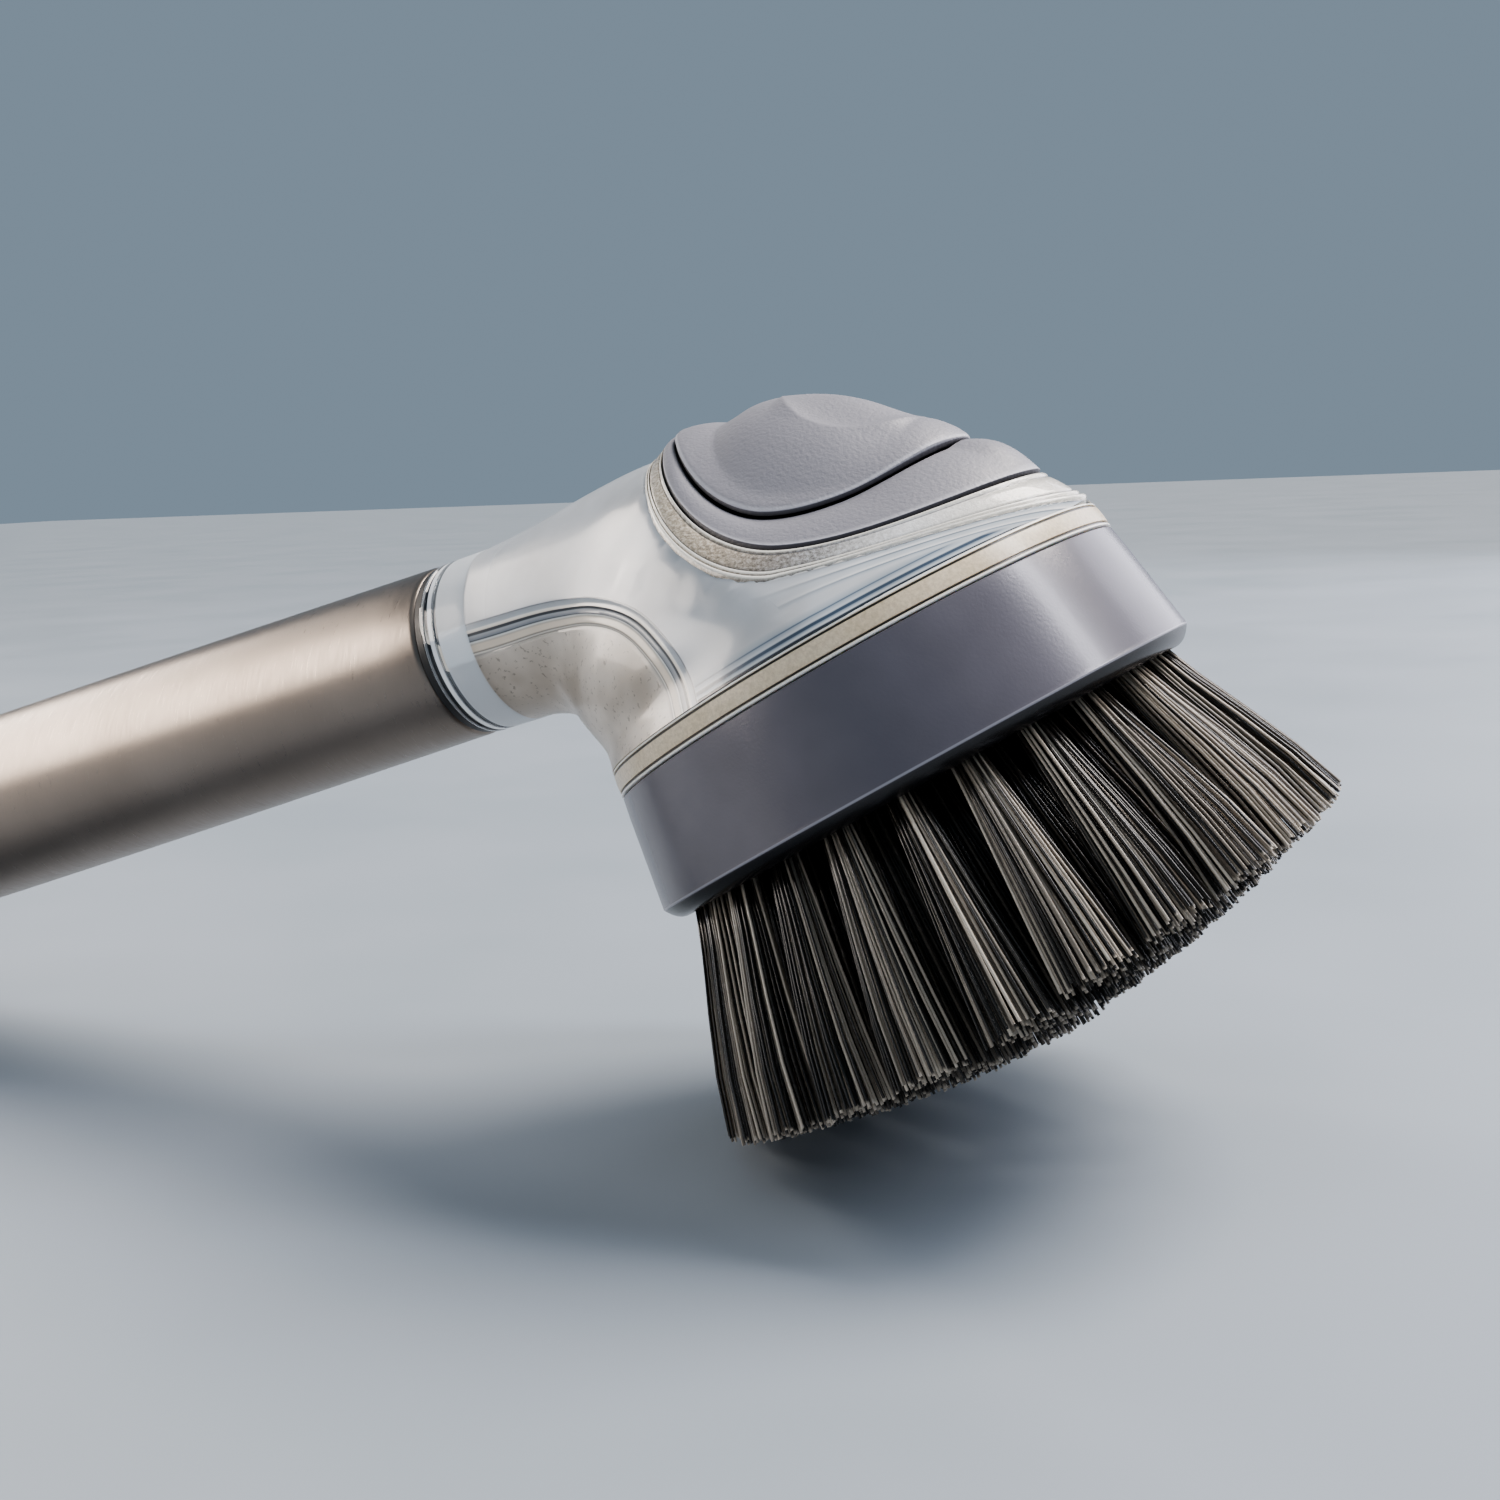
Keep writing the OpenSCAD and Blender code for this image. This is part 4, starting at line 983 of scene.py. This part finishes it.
def tuft_ring(i, name, node, count):
    model = filament((0.25, 0.5, 0.75, 0.98), 6, filament_r)
    base = [(v.co.x, v.co.y, v.co.z + 0.5) for v in model.vertices]
    faces = [tuple(p.vertices) for p in model.polygons]
    points, polygons, tints_and_shades = [], [], []
    radius = ring_radii[i]
    for j in range(ring_tufts[i]):
        a = 2 * pi * (j + (0 if i % 2 == 0 else 0.5)) / ring_tufts[i]
        lean = (random.uniform(-0.5, 0.5), random.uniform(-0.6, 0.6))
        shade = random.uniform(-0.05, 0.05)
        for k in range(count):
            near = sqrt((k + 0.5) / count) * tuft_r
            b = k * golden_angle
            root = (near * cos(b), near * sin(b))
            jitter = (random.gauss(0, 0.16), random.gauss(0, 0.12))
            tip = (radius * splay + root[0] * fan_out + lean[0] + jitter[0],
                   root[1] * fan_side + lean[1] + jitter[1])
            reach = hypot(*tip)
            limit = tip_reach + 0.7
            if reach > limit:
                tip = tuple(c * limit / reach for c in tip)
                reach = limit
            low = tip_z - tip_dome * (1 - (reach / (tip_reach + 1)) ** 2) + random.uniform(0, 0.7) \
                + tip_lift * blend_in(cos(a), 0.0, 1) * reach / tip_reach
            start = (radius + root[0], root[1])
            bow = (random.gauss(0.35, 0.1), random.gauss(0, 0.08))
            tint_and_shade = random.uniform(0.6, 1) if random.random() < 0.5 else random.uniform(0, 0.4)
            # The rings inside the outer one are darker: painted shade between the tufts
            tint_and_shade = min(max(tint_and_shade + shade, 0), 1) * (1 if i == 0 else 0.55)
            end = tint_and_shade if random.random() < 0.5 else 0.9
            first = len(points)
            for x, y, f in base:
                g = f * f * (3 - 2 * f) * 0.25 + f * 0.75
                arch = sin(pi * f)
                px = start[0] + (tip[0] - start[0]) * g + bow[0] * arch + x
                py = start[1] + (tip[1] - start[1]) * g + bow[1] * arch + y
                points.append((px * cos(a) - py * sin(a), px * sin(a) + py * cos(a),
                               0.3 + (low - 0.3) * f))
                tints_and_shades.append(end if f > 0.99 else tint_and_shade)
            polygons += [tuple(first + v for v in face) for face in faces]
    mesh = bpy.data.meshes.new(name)
    mesh.from_pydata(points, [], polygons)
    piece = bpy.data.objects.new(name, mesh)
    add_note(piece, "tint_and_shade", tints_and_shades)
    bpy.context.scene.collection.objects.link(piece)
    clean(piece, 0.0001)
    piece = set_in_place(piece, head, "brush", "bristle_nylon", NYLON, node, sharp=80)
    floor = cad_box[0][2] + 0.00002
    for vertex in piece.data.vertices:
        vertex.co.z = max(vertex.co.z, floor)
    return piece


for ring, (piece_name, node_name, filaments) in enumerate([
        ("outer_bristles", "outer_tufts", 64), ("second_bristles", "second_tufts", 56),
        ("third_bristles", "third_tufts", 50), ("inner_bristles", "inner_tufts", 44)]):
    tuft_ring(ring, piece_name, node_name, filaments)


# ---- Handle ----

sleeve_l, end_r, handle_l, cap_corner, sleeve_t = 146.0, 12.9, 160.0, 6.0, 0.8
plug_l, hole_r, hole_s = 12, 2.75, 153
lug_r, lug_half_w = 10.4, 0.42


def sleeve_r(s):
    return collar_r + (end_r - collar_r) * sin(pi / 2 * max(s, 0) / sleeve_l)


def handle_sleeve():
    """The steel tube, rolled in at its mouth to a bright rounded lip."""
    lip = [(collar_r - inward, s) for inward, s in (
        (sleeve_t, 0.25), (0.74, 0.06), (0.62, 0.0), (0.4, 0.06), (0.2, 0.2), (0.06, 0.42),
        (0.01, 0.62))]
    steps = [sleeve_l * k / 24 for k in range(1, 24)]
    outside = [(sleeve_r(s), s) for s in [0.8] + steps + [sleeve_l - 0.25]]
    end = [(sleeve_r(sleeve_l) - 0.05, sleeve_l - 0.08), (sleeve_r(sleeve_l) - 0.15, sleeve_l)]
    inside = [(sleeve_r(s) - sleeve_t, s) for s in [sleeve_l] + steps[::-1] + [0.8]]
    piece = turned("steel_sleeve", lip + outside + end + inside, 128)
    return set_in_place(piece, handle, "handle", "brushed_steel", STEEL, "handle_sleeve", sharp=30)


def end_cap():
    """A plug in the tube's end with a rounded cap and a hanging hole through it."""
    angles = [radians(a) for a in range(0, 91, 9)]
    corner = [(end_r - cap_corner * (1 - cos(a)), handle_l - cap_corner * (1 - sin(a)))
              for a in angles]
    start = sleeve_l - plug_l
    plug = sleeve_r(start) - sleeve_t - 0.02
    profile = [(0, start), (plug, start), (plug, sleeve_l), (end_r - 0.2, sleeve_l),
               (end_r - 0.05, sleeve_l + 0.06), (end_r, sleeve_l + 0.25)] + corner + [(0, handle_l)]
    piece = turned("handle_end_cap", profile, 128)
    deselect()
    bpy.ops.mesh.primitive_cylinder_add(vertices=64, radius=hole_r, depth=60,
                                        location=(0, 0, hole_s), rotation=(pi / 2, 0, 0))
    cutter = bpy.context.object
    bpy.ops.object.transform_apply(location=True, rotation=True, scale=True)
    cut(piece, cutter)
    return set_in_place(piece, handle, "handle", "black_plastic", CHARCOAL, "end_cap", sharp=30)


def bayonet_lugs():
    """The two ivory lugs on the reservoir's neck, in the collar, each a Z of legs and a ramp."""
    # (turn in degrees, place along the handle)
    strip = [(-34, -1.1), (-10, -1.5), (-3, -2.9), (12, -3.0), (15, -3.9), (24, -4.2)]
    for i, name in enumerate(("near_lug", "far_lug")):
        deselect()
        bpy.ops.mesh.primitive_grid_add(x_subdivisions=30, y_subdivisions=1, size=2)
        piece = bpy.context.object
        piece.name = name
        for vertex in piece.data.vertices:
            f = (vertex.co.x + 1) / 2
            angle = radians(strip[0][0] + (strip[-1][0] - strip[0][0]) * f)
            s = curve_at(strip, degrees(angle)) + vertex.co.y * lug_half_w
            turn = (-90 if i == 0 else 90) * pi / 180 - angle
            vertex.co = (lug_r * cos(turn), lug_r * sin(turn), s)
        apply_modifier(piece, "SOLIDIFY", thickness=0.6, offset=0)
        apply_modifier(piece, "BEVEL", width=0.15, segments=2)
        clean(piece)
        set_in_place(piece, handle, "handle", "clear_tank", IVORY)


handle_sleeve()
end_cap()
bayonet_lugs()


# ---- The model's own nodes that stay ----

for material, names in (
        (ACETAL, "pump_cylinder pump_cover pump_piston button_core valve_retainer"),
        (SEAL, "slit_valve inlet_flap holder_gasket"),
        (RUBBER, "rod_seal piston_seal lip_gasket neck_o_ring end_cap_o_ring"),
        (WIRE, "return_spring tuft_anchors"), (PLATE, "tuft_plate"), (TANK, "soap_reservoir")):
    for node_name in names.split():
        node = frame["nodes"][node_name]
        node.data.materials.clear()
        node.data.materials.append(material)


# ---- Floor and light ----

def add_floor():
    # Painted board: pale grey, matt, clouded over 100 mm
    m = plain_finish("painted_board_pale", 100.0, "#929ba3", "#979fa8", 0.6)
    deselect()
    bpy.ops.mesh.primitive_plane_add(size=8, location=(0, 0, cad_box[0][2] - 0.00005))
    floor = bpy.context.object
    floor.name = "floor"
    floor.data.materials.append(m)


def direction(azimuth, elevation):
    """A unit vector from angles in degrees."""
    a, e = radians(azimuth), radians(elevation)
    return Vector((cos(e) * cos(a), cos(e) * sin(a), sin(e)))


def add_light(name, towards, distance, size, power_w, colour):
    """A soft box that faces the head."""
    data = bpy.data.lights.new(name, "AREA")
    data.shape = "RECTANGLE"
    data.size, data.size_y = size
    data.energy = power_w
    data.color = linear(colour)[:3]
    light = bpy.data.objects.new(name, data)
    bpy.context.scene.collection.objects.link(light)
    aim = Vector((0.075, 0, 0.05))
    light.location = aim + distance * direction(*towards)
    light.rotation_euler = (aim - light.location).to_track_quat("-Z", "Y").to_euler()
    return light


def add_sun(towards, strength, softness, colour, glossy=True):
    data = bpy.data.lights.new("sun", "SUN")
    data.energy = strength
    data.angle = radians(softness)
    data.color = linear(colour)[:3]
    sun = bpy.data.objects.new("sun", data)
    sun.visible_glossy = glossy
    bpy.context.scene.collection.objects.link(sun)
    sun.rotation_euler = direction(*towards).to_track_quat("Z", "Y").to_euler()


add_floor()
add_sun((50, 55), 3.9, 30, "#fff6ee")
add_sun((152, 14), 2.2, 14, "#fff2e6", glossy=False)
add_light("right_strip", (14, 44), 0.8, (0.11, 0.5), 3.4, "#f8f8ff")
add_light("front_fill", (-70, 72), 1.0, (0.9, 0.9), 1.0, "#fbf7f2")
add_light("right_wide", (68, 18), 1.0, (0.6, 0.6), 3.6, "#f6f4ff")
add_light("tube_light", (194, 20), 1.0, (1.45, 0.5), 19.0, "#fff3e8").visible_diffuse = False
add_light("low_fill", (-108, 10), 1.0, (0.5, 0.3), 1.2, "#fff6ee").visible_glossy = False
bpy.context.scene.view_settings.look = "AgX - Medium High Contrast"

world = bpy.data.worlds.new("studio")
bpy.context.scene.world = world
world.use_nodes = True
sky = world.node_tree.nodes["Background"].inputs
sky["Color"].default_value = linear("#8494a3")
sky["Strength"].default_value = 0.85
